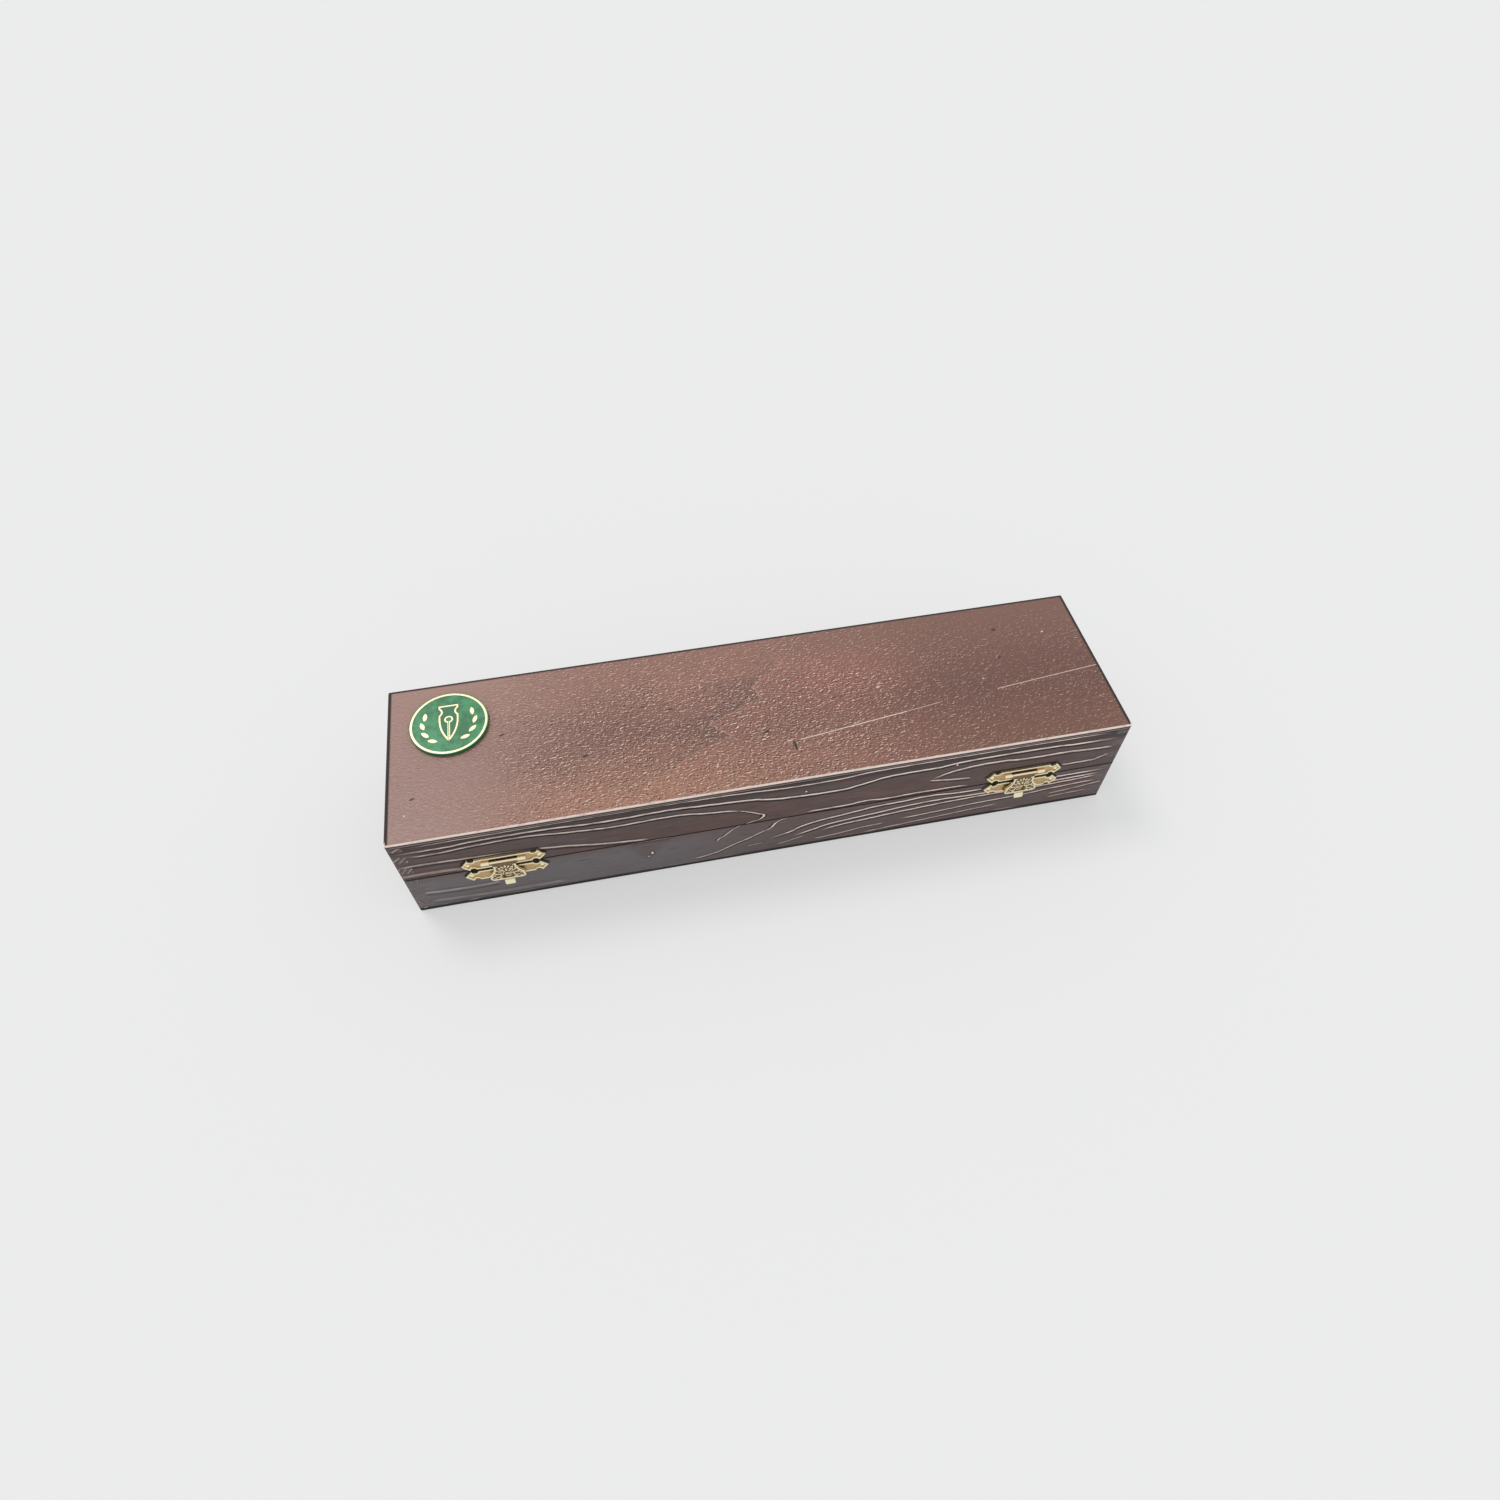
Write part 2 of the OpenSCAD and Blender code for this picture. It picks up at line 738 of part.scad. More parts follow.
clasp_plate_at(right);  // clasp_plate_right
clasp_plate_brads();
clasp_wire(left);  // clasp_wire_left
clasp_wire(right);  // clasp_wire_right
clasp_flap_at(left);  // clasp_flap_left
clasp_flap_at(right);  // clasp_flap_right
badge_plate();
badge_enamel();
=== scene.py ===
import math

import bmesh
import bpy
from mathutils import Matrix, Vector


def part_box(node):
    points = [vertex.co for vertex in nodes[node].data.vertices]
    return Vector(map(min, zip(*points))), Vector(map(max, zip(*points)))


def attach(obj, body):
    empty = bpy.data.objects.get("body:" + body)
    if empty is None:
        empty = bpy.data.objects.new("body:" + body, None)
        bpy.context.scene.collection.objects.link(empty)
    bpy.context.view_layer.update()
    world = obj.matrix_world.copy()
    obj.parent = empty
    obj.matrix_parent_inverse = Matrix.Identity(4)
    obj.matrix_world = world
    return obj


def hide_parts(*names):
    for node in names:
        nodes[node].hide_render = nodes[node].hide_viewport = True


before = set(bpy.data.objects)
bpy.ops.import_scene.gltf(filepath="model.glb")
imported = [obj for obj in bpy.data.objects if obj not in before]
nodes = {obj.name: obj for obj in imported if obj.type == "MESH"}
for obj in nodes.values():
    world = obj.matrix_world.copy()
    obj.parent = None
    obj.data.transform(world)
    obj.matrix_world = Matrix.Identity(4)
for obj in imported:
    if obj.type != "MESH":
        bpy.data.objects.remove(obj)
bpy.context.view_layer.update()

MM = 0.001

# ---------------------------------------------------------------- the viewpoint
# The case lies on a white table and is seen from in front and above, a little
# left of its middle, through a wide lens.

camera_data = bpy.data.cameras.new("camera")
camera_data.sensor_width = 36
camera_data.lens = 23.19
camera_data.clip_start = 0.01
camera = bpy.data.objects.new("camera", camera_data)
camera.location = (-51.59 * MM, -247.95 * MM, 362.5 * MM)
camera.rotation_euler = (math.radians(90 - 53.33), 0, math.radians(-11.21))
bpy.context.collection.objects.link(camera)
bpy.context.scene.camera = camera
bpy.context.scene.view_settings.view_transform = "Standard"


# ------------------------------------------------------------ the white table
# A matt sheet, wide enough to fill the view.  Mesh pieces start in a bmesh and
# are finished by this one function.

def finish_mesh(name, shape, *materials, smooth=None):
    """An object of that name from a bmesh, its faces smooth below the given angle in degrees."""
    mesh = bpy.data.meshes.new(name)
    if smooth is not None:
        for face in shape.faces:
            face.smooth = True
        for edge in shape.edges:
            if len(edge.link_faces) == 2:
                edge.smooth = edge.calc_face_angle() < math.radians(smooth)
    shape.to_mesh(mesh)
    shape.free()
    for material in materials:
        mesh.materials.append(material)
    piece = bpy.data.objects.new(name, mesh)
    bpy.context.collection.objects.link(piece)
    return piece


def feed(tree, socket, source):
    """Links a socket to a source socket, or sets it to a plain value."""
    if isinstance(source, bpy.types.NodeSocket):
        tree.links.new(source, socket)
    elif source is not None:
        socket.default_value = source


def add(tree, kind, *sources, **settings):
    """A shader node of that kind, set as given, its first inputs fed from the sources in turn."""
    made = tree.nodes.new("ShaderNode" + kind)
    for setting, value in settings.items():
        setattr(made, setting, value)
    for socket, source in zip(made.inputs, sources):
        feed(tree, socket, source)
    return made


def sums(tree, operation, *sources, clamp=False):
    """The output of a Math node."""
    return add(tree, "Math", *sources, operation=operation, use_clamp=clamp).outputs[0]


def times(tree, first, second, clamp=False):
    """Two values multiplied."""
    return sums(tree, "MULTIPLY", first, second, clamp=clamp)


def plus(tree, first, second, clamp=False):
    """Two values added."""
    return sums(tree, "ADD", first, second, clamp=clamp)


def blend_colour(tree, factor, under, over):
    """The colour output of a Mix node."""
    made = add(tree, "Mix", data_type="RGBA")
    feed(tree, made.inputs[0], factor)
    feed(tree, made.inputs[6], under)
    feed(tree, made.inputs[7], over)
    return made.outputs[2]


def ease(tree, value, low, high, to_low=0.0, to_high=1.0):
    """Smooth step of a value from one span to another."""
    return add(tree, "MapRange", value, low, high, to_low, to_high,
               interpolation_type="SMOOTHSTEP").outputs[0]


def noise(tree, vector, scale, detail=2.0, roughness=0.5, distortion=0.0):
    """Value of a noise texture, about 0 to 1."""
    made = add(tree, "TexNoise", vector)
    for socket, value in (("Scale", scale), ("Detail", detail),
                          ("Roughness", roughness), ("Distortion", distortion)):
        feed(tree, made.inputs[socket], value)
    return made.outputs[0]


def stretch(tree, vector, factors, shift=(0, 0, 0)):
    """A vector scaled along each axis and then moved."""
    return add(tree, "Mapping", vector, shift, (0, 0, 0), factors).outputs[0]


def new_material(name):
    """An empty material: its tree and its Principled shader."""
    material = bpy.data.materials.new(name)
    material.use_nodes = True
    return material, material.node_tree, material.node_tree.nodes["Principled BSDF"]


def millimetres(tree):
    """Object coordinates in millimetres."""
    place = add(tree, "TexCoord").outputs["Object"]
    return stretch(tree, place, (1000, 1000, 1000))


TABLE_WHITE = (0.80, 0.805, 0.80, 1)
TABLE_PALE = (0.81, 0.815, 0.81, 1)
TABLE_GLOW = (0.84, 0.845, 0.84, 1)
GLOW_SHARE = 0.55
TABLE_SIZE = 60.0

table_paper, tree, shader = new_material("table_paper")
drift = noise(tree, millimetres(tree), 0.004, 1.0)
feed(tree, shader.inputs["Base Color"], blend_colour(tree, drift, TABLE_WHITE, TABLE_PALE))
shader.inputs["Roughness"].default_value = 0.95
shader.inputs["Specular IOR Level"].default_value = 0.1
# Seen directly or in brass, about half of its brightness is its own, which keeps
# the case's shadow as faint as it falls on bright white paper
glow = add(tree, "Emission", TABLE_GLOW)
rays = add(tree, "LightPath").outputs
seen = plus(tree, rays["Is Camera Ray"], rays["Is Glossy Ray"])
seen = plus(tree, seen, rays["Is Transmission Ray"], clamp=True)
paper = add(tree, "MixShader", times(tree, seen, GLOW_SHARE), shader.outputs[0], glow.outputs[0])
feed(tree, tree.nodes["Material Output"].inputs["Surface"], paper.outputs[0])

shape = bmesh.new()
bmesh.ops.create_grid(shape, x_segments=1, y_segments=1, size=TABLE_SIZE / 2)
table = finish_mesh("table_top", shape, table_paper)


# ---------------------------------------------------------------- the daylight
# A white room all round, and soft daylight from a wide window behind and above
# the case, to its left, which lights the top and leaves the front in shade.

DAYLIGHT_FROM = Vector((-0.36, 0.46, 1.0))

room = bpy.data.worlds.new("room")
bpy.context.scene.world = room
room.use_nodes = True
room_light = room.node_tree.nodes["Background"]
room_light.inputs["Color"].default_value = (0.97, 0.98, 1.0, 1)
room_light.inputs["Strength"].default_value = 0.78

daylight_data = bpy.data.lights.new("daylight", "SUN")
daylight_data.energy = 0.97
daylight_data.angle = math.radians(22)
daylight_data.color = (1.0, 0.98, 0.95)
daylight = bpy.data.objects.new("daylight", daylight_data)
daylight.location = DAYLIGHT_FROM
daylight.rotation_euler = (-DAYLIGHT_FROM).to_track_quat("-Z", "Y").to_euler()
bpy.context.collection.objects.link(daylight)


# ---------------------------------------------------------- front wall boards
# The walls are sawn softwood, brushed and stained dark, so that the hard late
# wood stands out in pale lines, each above a dark furrow.  Lid and base are cut
# from one box, so the lines of the front run on across the saw cut.

STAIN = (0.120, 0.073, 0.064, 1)
STAIN_COOL = (0.108, 0.080, 0.077, 1)
STAIN_RED = (0.18, 0.098, 0.086, 1)
STAIN_GREY = (0.168, 0.155, 0.163, 1)
STAIN_LOW = (0.170, 0.132, 0.127, 1)
FIBRE_PALE = (0.23, 0.175, 0.155, 1)
LATE_WOOD = (0.96, 0.76, 0.68, 1)
# Near black for furrows, ply and glue lines, and for painted shade at the foot, in the saw cut and
# round the clasp plates
FURROW_AND_SHADE = (0.006, 0.004, 0.004, 1)
EDGE_SHADE = (0.022, 0.016, 0.015, 1)
BOARD_EASE = 0.12

case_low, case_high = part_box("bottom_panel")
top_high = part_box("top_panel")[1]
HALF = ((case_high.x - case_low.x) / 2 / MM, (case_high.y - case_low.y) / 2 / MM,
        (top_high.z - case_low.z) / 2 / MM)
SEAM = (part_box("base_front_wall")[1].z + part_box("lid_front_wall")[0].z) / 2 / MM
TOP_Z = top_high.z / MM
left_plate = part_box("clasp_plate_left")
right_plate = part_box("clasp_plate_right")
left_x = (left_plate[0].x + left_plate[1].x) / 2 / MM + HALF[0]
right_x = (right_plate[0].x + right_plate[1].x) / 2 / MM + HALF[0]
CLASP_MIDDLE = (left_x + right_x) / 2
CLASP_REACH = (right_x - left_x) / 2
PLATE_HALF = (left_plate[1].x - left_plate[0].x) / 2 / MM
PLATE_HEIGHTS = [(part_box(name)[0].z / MM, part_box(name)[1].z / MM)
                 for name in ("catch_plate_left", "clasp_plate_left")]

# Late-wood lines of the front board: strength, half width, and points as distance
# from the left end and height, in millimetres.  Lines that run up the board are
# given as height and distance instead.
LINES_ALONG = [
    (0.75, 0.34, [(6, 47.7), (20, 48.4), (63, 48.8), (95, 49.0), (123, 48.6), (145, 47.6),
                  (165, 46.8), (181, 47.4), (195, 48.5), (238, 48.8), (259, 48.8), (293, 48.3)]),
    (1.0, 0.45, [(0, 44.9), (20, 44.7), (30, 45.5), (45, 45.9), (60, 45.7), (84, 44.4),
                 (105, 45.0), (120, 44.1), (134, 43.1), (141, 42.5), (146, 41.3), (158, 39.7),
                 (176, 39.1), (183, 40.0), (191, 41.8), (202, 43.4), (218, 43.6), (231, 44.9),
                 (263, 45.0), (281, 44.1), (297, 44.0)]),
    (0.9, 0.42, [(5, 42.6), (14, 41.5), (30, 42.5), (50, 43.1), (57, 42.6), (64, 41.5), (75, 40.4),
                 (84, 39.7), (101, 40.2), (109, 40.2), (121, 38.4), (132, 36.9), (137, 35.2)]),
    (0.75, 0.55, [(0, 34.9), (8, 35.2), (31, 34.3), (46, 33.6), (64, 31.8), (71, 30.4), (79, 28.8),
                  (90, 27.3), (99, 26.5)]),
    (0.4, 0.9, [(0, 28.2), (10, 28.4), (24, 27.2)]),
    (0.38, 0.7, [(5, 14.1), (18, 12.9), (28, 12.7), (36, 13.6)]),
    (0.2, 0.9, [(6, 7.1), (13, 6.3), (40, 5.2), (62, 5.2)]),
    (0.5, 0.4, [(90, 25.0), (98, 25.2), (107, 25.0)]),
    (0.6, 0.4, [(116, 4.9), (125, 6.9), (129, 8.8), (134, 11.6), (139, 13.8), (143.6, 16.4),
                (147, 18.2)]),
    (0.9, 0.42, [(148, 10.5), (152, 12.1), (156, 13.1), (162, 16.3), (166, 17.7), (172, 19.0),
                 (184, 20.6), (195, 22.2), (206, 22.6), (216, 23.3), (231, 22.0), (255, 21.8),
                 (297, 21.8)]),
    (0.95, 0.42, [(158, 9.8), (168, 12.6), (172, 14.1), (184, 15.9), (195, 17.0), (209, 18.6),
                  (219, 19.1), (241, 18.4), (281, 19.0), (295, 19.4)]),
    (0.85, 0.4, [(170, 10.0), (181, 12.6), (195, 13.9), (209, 15.2), (220, 15.9), (241, 16.6),
                 (270, 16.6), (281, 17.0), (295, 17.9)]),
    (0.7, 0.36, [(206, 9.0), (220, 9.7), (241, 11.3), (264, 12.1), (274, 13.1), (295, 14.1)]),
    (0.5, 0.36, [(274, 8.9), (284, 10.0), (298, 12.1)]),
    (0.5, 0.36, [(190, 3.0), (209, 4.5), (227, 5.9), (251, 7.6)]),
    (0.4, 0.4, [(168, 4.6), (176, 5.2), (190, 7.3), (199, 7.9)]),
    (0.35, 0.4, [(274, 6.2), (292, 7.2)]),
    (0.4, 0.3, [(139, 7.8), (145, 8.3)]),
    (0.4, 0.3, [(152, 5.2), (163, 8.2)]),
    (0.7, 0.5, [(216.5, 35.8), (219, 36.9), (228, 39.5), (241, 40.7), (259, 39.5), (274, 39.5),
                (288, 38.6), (296, 38.4)]),
    (0.6, 0.45, [(215.5, 34.9), (219, 34.3), (226, 33.1), (234, 32.2)]),
    (0.6, 0.45, [(274, 30.5), (288, 30.4), (291, 31.6), (296, 34.3)]),
    (0.8, 0.4, [(163, 27.0), (181, 27.1), (190, 27.9), (197, 27.1), (209, 27.4), (234, 26.8)])]
LINES_UPWARD = [
    (1.0, 0.5, [(25.0, 136.0), (26.6, 141.0), (28.1, 144.8), (30.2, 145.7), (31.3, 144.0),
                (34.3, 139.0), (36.0, 135.6)]),
    (0.6, 0.42, [(15.9, 126.0), (17.7, 127.0), (19.1, 129.0), (21.3, 131.0), (23.1, 133.0),
                 (25.2, 136.4)]),
    (0.8, 0.45, [(17.7, 146.0), (19.1, 148.8), (20.6, 149.7), (22.7, 151.0), (24.3, 153.6),
                 (25.0, 156.5), (25.4, 160.6)])]
# Nicks down to bare wood: distance along, height, half length and half height
NICKS = [(98.6, 15.3, 0.55, 0.95), (97.0, 13.0, 0.35, 0.45), (162.9, 42.0, 0.45, 0.5),
         (226.0, 43.2, 0.35, 0.8), (3.4, 23.4, 0.45, 0.7), (41.0, 50.2, 0.5, 0.5)]


def minus(tree, first, second, clamp=False):
    """The second value taken from the first."""
    return sums(tree, "SUBTRACT", first, second, clamp=clamp)


def apart(tree, first, second):
    """How far apart two values are."""
    return sums(tree, "ABSOLUTE", minus(tree, first, second))


def largest(tree, value, *others):
    """The largest of some values."""
    for other in others:
        value = sums(tree, "MAXIMUM", value, other)
    return value


def smallest(tree, value, *others):
    """The smallest of some values."""
    for other in others:
        value = sums(tree, "MINIMUM", value, other)
    return value


def reach(tree, across, up):
    """Distance from the origin of a point given by two distances."""
    return sums(tree, "SQRT", plus(tree, times(tree, across, across), times(tree, up, up)))


def streaks(tree, vector, factors, detail=2.0, roughness=0.5, distortion=0.0):
    """Noise drawn out by a factor along each axis."""
    return noise(tree, stretch(tree, vector, factors), 1.0, detail, roughness, distortion)


def raise_surface(tree, shader, strength, depth, height):
    """Fine relief from a height, where a height of 1 stands out by depth, in millimetres."""
    bump = add(tree, "Bump")
    bump.inputs["Strength"].default_value = strength
    bump.inputs["Distance"].default_value = depth * MM
    feed(tree, bump.inputs["Height"], height)
    feed(tree, shader.inputs["Normal"], bump.outputs[0])


def float_curve(tree, value, points, handle="AUTO"):
    """A Float Curve through points between 0 and 1."""
    made = tree.nodes.new("ShaderNodeFloatCurve")
    curve = made.mapping.curves[0]
    for dot, spot in zip(curve.points, (points[0], points[-1])):
        dot.location = spot
    for spot in points[1:-1]:
        curve.points.new(*spot)
    for dot in curve.points:
        dot.handle_type = handle
    made.mapping.update()
    feed(tree, made.inputs["Value"], value)
    return made.outputs[0]


def drawn_curve(tree, value, points, handle="AUTO"):
    """A function of a value, through points given in the value's own units."""
    ends = (points[0][0], points[-1][0])
    low = min(height for _, height in points)
    span = max(max(height for _, height in points) - low, 0.001)
    share = add(tree, "MapRange", value, ends[0], ends[1], 0.0, 1.0).outputs[0]
    curve = float_curve(tree, share, [((at - ends[0]) / (ends[1] - ends[0]),
                                       (height - low) / span) for at, height in points], handle)
    return add(tree, "MapRange", curve, 0.0, 1.0, low, low + span).outputs[0]


def new_group(name, takes, gives):
    """An empty node group with named sockets: its tree, inputs and outputs."""
    group = bpy.data.node_groups.new(name, "ShaderNodeTree")
    for label, kind in takes:
        group.interface.new_socket(label, in_out="INPUT", socket_type="NodeSocket" + kind)
    for label, kind in gives:
        group.interface.new_socket(label, in_out="OUTPUT", socket_type="NodeSocket" + kind)
    inside = group.nodes.new("NodeGroupInput").outputs
    outside = group.nodes.new("NodeGroupOutput").inputs
    return group, inside, outside


def place_group(tree, group, *sources):
    """A node group placed in a tree, its inputs fed in turn."""
    made = tree.nodes.new("ShaderNodeGroup")
    made.node_tree = group
    for socket, source in zip(made.inputs, sources):
        feed(tree, socket, source)
    return made.outputs


# Late wood within Width of a line, a furrow just below it and a fainter one above.
# Off, how far a point lies above the line, and Width are in millimetres.
late_line, takes, gives = new_group(
    "late_line", [("Off", "Float"), ("Width", "Float"), ("Strength", "Float")],
    [("Late", "Float"), ("Furrow", "Float")])
off = sums(late_line, "DIVIDE", takes["Off"], takes["Width"])
ridge = ease(late_line, apart(late_line, off, 0.0), 0.68, 1.25, 1.0, 0.0)
ditch = ease(late_line, apart(late_line, off, -2.2), 0.5, 2.2, 1.0, 0.0)
shoulder = ease(late_line, apart(late_line, off, 2.0), 0.3, 1.6, 0.55, 0.0)
ditch = largest(late_line, ditch, shoulder)
feed(late_line, gives["Late"], times(late_line, ridge, takes["Strength"]))
feed(late_line, gives["Furrow"], times(late_line, ditch, takes["Strength"]))

# Fibre is the fine streaks along the grain, Tone the slow change of colour, Blush
# the redder patches, and Broken where the late wood gives out.  Along, Depth and
# Height are a point's place in the board, in millimetres.
wood_fibre, takes, gives = new_group(
    "wood_fibre", [("Along", "Float"), ("Depth", "Float"), ("Height", "Float")],
    [("Fibre", "Float"), ("Tone", "Float"), ("Blush", "Float"), ("Broken", "Float")])
place = add(wood_fibre, "CombineXYZ", takes["Along"], takes["Depth"], takes["Height"]).outputs[0]
for label, scale, detail, rough in (("Fibre", (0.09, 1.9, 1.9), 4.0, 0.62),
                                    ("Tone", (0.012, 0.05, 0.06), 3.0, 0.6),
                                    ("Blush", (0.03, 0.08, 0.11), 2.0, 0.5),
                                    ("Broken", (0.16, 0.9, 0.9), 3.0, 0.6)):
    feed(wood_fibre, gives[label], streaks(wood_fibre, place, scale, detail, rough))

# Painted shade along the edges of the case: Mask grows within Reach of an outer edge
# of the case, patchily.  Half and Middle are the case's half size and middle, and all
# four are in millimetres.
painted_edge_shade, takes, gives = new_group(
    "painted_edge_shade",
    [("Place", "Vector"), ("Half", "Vector"), ("Middle", "Vector"), ("Reach", "Float")],
    [("Mask", "Float")])
from_middle = add(painted_edge_shade, "VectorMath", takes["Place"], takes["Middle"],
                  operation="SUBTRACT").outputs[0]
out = add(painted_edge_shade, "VectorMath", from_middle, operation="ABSOLUTE").outputs[0]
left_over = add(painted_edge_shade, "VectorMath", takes["Half"], out, operation="SUBTRACT").outputs[0]
gap = add(painted_edge_shade, "SeparateXYZ", left_over).outputs
nearest = smallest(painted_edge_shade, *gap)
farthest = largest(painted_edge_shade, *gap)
second = minus(painted_edge_shade, plus(painted_edge_shade, plus(painted_edge_shade, gap[0], gap[1]), gap[2]),
               plus(painted_edge_shade, nearest, farthest))
ragged = noise(painted_edge_shade, takes["Place"], 0.35, 4.0, 0.7)
near = minus(painted_edge_shade, 1.0, sums(painted_edge_shade, "DIVIDE", second, takes["Reach"]), clamp=True)
feed(painted_edge_shade, gives["Mask"],
     ease(painted_edge_shade, times(painted_edge_shade, near, times(painted_edge_shade, ragged, 1.7)), 0.3, 0.6))


def board_material(name, turn, grain):
    """Stained softwood.  turn picks a point's distance along the board, depth and height in
    millimetres from its place, and grain draws the late wood and furrows there."""
    material, tree, shader = new_material(name)
    place = millimetres(tree)
    spot = add(tree, "SeparateXYZ", place).outputs
    run, deep, high = turn(tree, spot)
    wood = place_group(tree, wood_fibre, run, deep, high)
    late, furrow, cool, plate_shade = grain(tree, run, deep, high)
    broken = ease(tree, wood["Broken"], 0.32, 0.56, 0.42, 1.15)
    late = times(tree, late, broken)
    edge_shade = place_group(tree, painted_edge_shade, place, HALF, (0, 0, HALF[2]), 1.4)["Mask"]
    ground = blend_colour(tree, ease(tree, wood["Tone"], 0.38, 0.62), STAIN, STAIN_COOL)
    ground = blend_colour(tree, ease(tree, spot[2], SEAM + 1, SEAM - 2, 0.0, 0.45), ground,
                          STAIN_LOW)
    blush = times(tree, ease(tree, wood["Blush"], 0.56, 0.72, 0.0, 0.6), minus(tree, 1.0, cool))
    ground = blend_colour(tree, blush, ground, STAIN_RED)
    ground = blend_colour(tree, cool, ground, STAIN_GREY)
    ground = blend_colour(tree, ease(tree, wood["Fibre"], 0.5, 0.76, 0.0, 0.55), ground, FIBRE_PALE)
    ground = blend_colour(tree, ease(tree, wood["Fibre"], 0.46, 0.26, 0.0, 0.7), ground, FURROW_AND_SHADE)
    ground = blend_colour(tree, times(tree, furrow, 0.95), ground, FURROW_AND_SHADE)
    colour = blend_colour(tree, late, ground, LATE_WOOD)
    # A dark band in the saw cut: painted shade of the gap between lid and base, with some dirt
    seam_shade_and_dirt = ease(tree, apart(tree, spot[2], SEAM), 0.6, 0.25, 0.0, 0.97)
    glue_line = ease(tree, spot[2], TOP_Z - 2.75, TOP_Z - 2.3, 0.0, 0.95)
    # Painted shade along the foot, where the board meets the table
    foot_shade = ease(tree, spot[2], 2.9, 1.9, 0.0, 0.98)
    # The glue line, dirt and painted shade keep to the outside of the case
    to_outside = smallest(tree, minus(tree, HALF[0], apart(tree, spot[0], 0.0)),
                          minus(tree, HALF[1], apart(tree, spot[1], 0.0)))
    dirt_and_shade = times(tree, largest(tree, seam_shade_and_dirt, glue_line, foot_shade, plate_shade),
                 ease(tree, to_outside, 1.0, 0.3))
    # Painted shade along the outer edges of the boards
    colour = blend_colour(tree, times(tree, edge_shade, 0.85), colour, EDGE_SHADE)
    colour = blend_colour(tree, dirt_and_shade, colour, FURROW_AND_SHADE)
    feed(tree, shader.inputs["Base Color"], colour)
    feed(tree, shader.inputs["Roughness"], ease(tree, late, 0.0, 1.0, 0.6, 0.45))
    shader.inputs["Specular IOR Level"].default_value = 0.28
    relief = plus(tree, late, times(tree, wood["Fibre"], 0.6))
    relief = minus(tree, relief, times(tree, furrow, 0.6))
    raise_surface(tree, shader, 0.7, 0.14, relief)
    return material


def picked(along, depth, height):
    """A turn for board_material: each of the three is (axis, sign, shift)."""
    def turn(tree, spot):
        return [plus(tree, times(tree, spot[axis], sign), shift)
                for axis, sign, shift in (along, depth, height)]
    return turn


def drawn_grain(tree, run, deep, high):
    """The late-wood lines drawn for the front board."""
    place = add(tree, "CombineXYZ", run, 0.0, high).outputs[0]
    wobble = minus(tree, streaks(tree, place, (0.22, 1, 0.22), 3.0), 0.5)
    run_bent = plus(tree, run, times(tree, wobble, 1.4))
    high_bent = plus(tree, high, times(tree, wobble, 0.6))
    # The rings slant inwards, so none lies flat over a whole rim
    high_bent = plus(tree, high_bent, times(tree, deep, 0.5))
    late = furrow = 0.0
    for lines, at, over in ((LINES_ALONG, run, high_bent), (LINES_UPWARD, high, run_bent)):
        for strength, width, points in lines:
            first, last = points[0][0], points[-1][0]
            soft = 0.06 * (last - first)
            shown = times(tree, ease(tree, at, first, first + soft, 0.0, strength),
                          ease(tree, at, last, last - soft))
            off = minus(tree, over, drawn_curve(tree, at, points))
            line = place_group(tree, late_line, off, width, shown)
            late = largest(tree, late, line["Late"])
            furrow = largest(tree, furrow, line["Furrow"])
    # The lines fade towards the left end, and the wood between them darkens near the top
    late = times(tree, late, ease(tree, run, 10.0, 190.0, 0.6, 1.15))
    furrow = largest(tree, furrow, ease(tree, high, 42.5, 47.0, 0.0, 0.5))
    for along, up, length, height in NICKS:
        nick = reach(tree, sums(tree, "DIVIDE", minus(tree, run, along), length),
                     sums(tree, "DIVIDE", minus(tree, high, up), height))
        late = largest(tree, late, ease(tree, nick, 1.2, 0.7, 0.0, 1.2))
        furrow = largest(tree, furrow, ease(tree, nick, 2.2, 1.4, 0.0, 0.8))
    # The stain took grey on the left of the base, but for a brown patch
    cool = times(tree, ease(tree, run, 165.0, 95.0), ease(tree, high, SEAM + 2, SEAM - 6))
    patch = plus(tree, apart(tree, run, 97.0), times(tree, minus(tree, 25.0, high), 0.75))
    cool = times(tree, cool, ease(tree, patch, 8.0, 13.0, 0.25, 1.0))
    # Painted shade round the clasp plates: pointed strips, both clasps folded onto one
    side = apart(tree, apart(tree, run, CLASP_MIDDLE), CLASP_REACH)
    plate_shade = 0.0
    for low, high_edge in PLATE_HEIGHTS:
        rise = apart(tree, high, (low + high_edge) / 2)
        over = minus(tree, rise, (high_edge - low) / 2)
        past_tip = plus(tree, minus(tree, side, PLATE_HALF), times(tree, rise, 0.8))
        outside = largest(tree, over, times(tree, past_tip, 0.78))
        plate_shade = largest(tree, plate_shade, ease(tree, outside, 1.0, 0.25, 0.0, 0.9))
    return late, furrow, times(tree, cool, 0.85), plate_shade


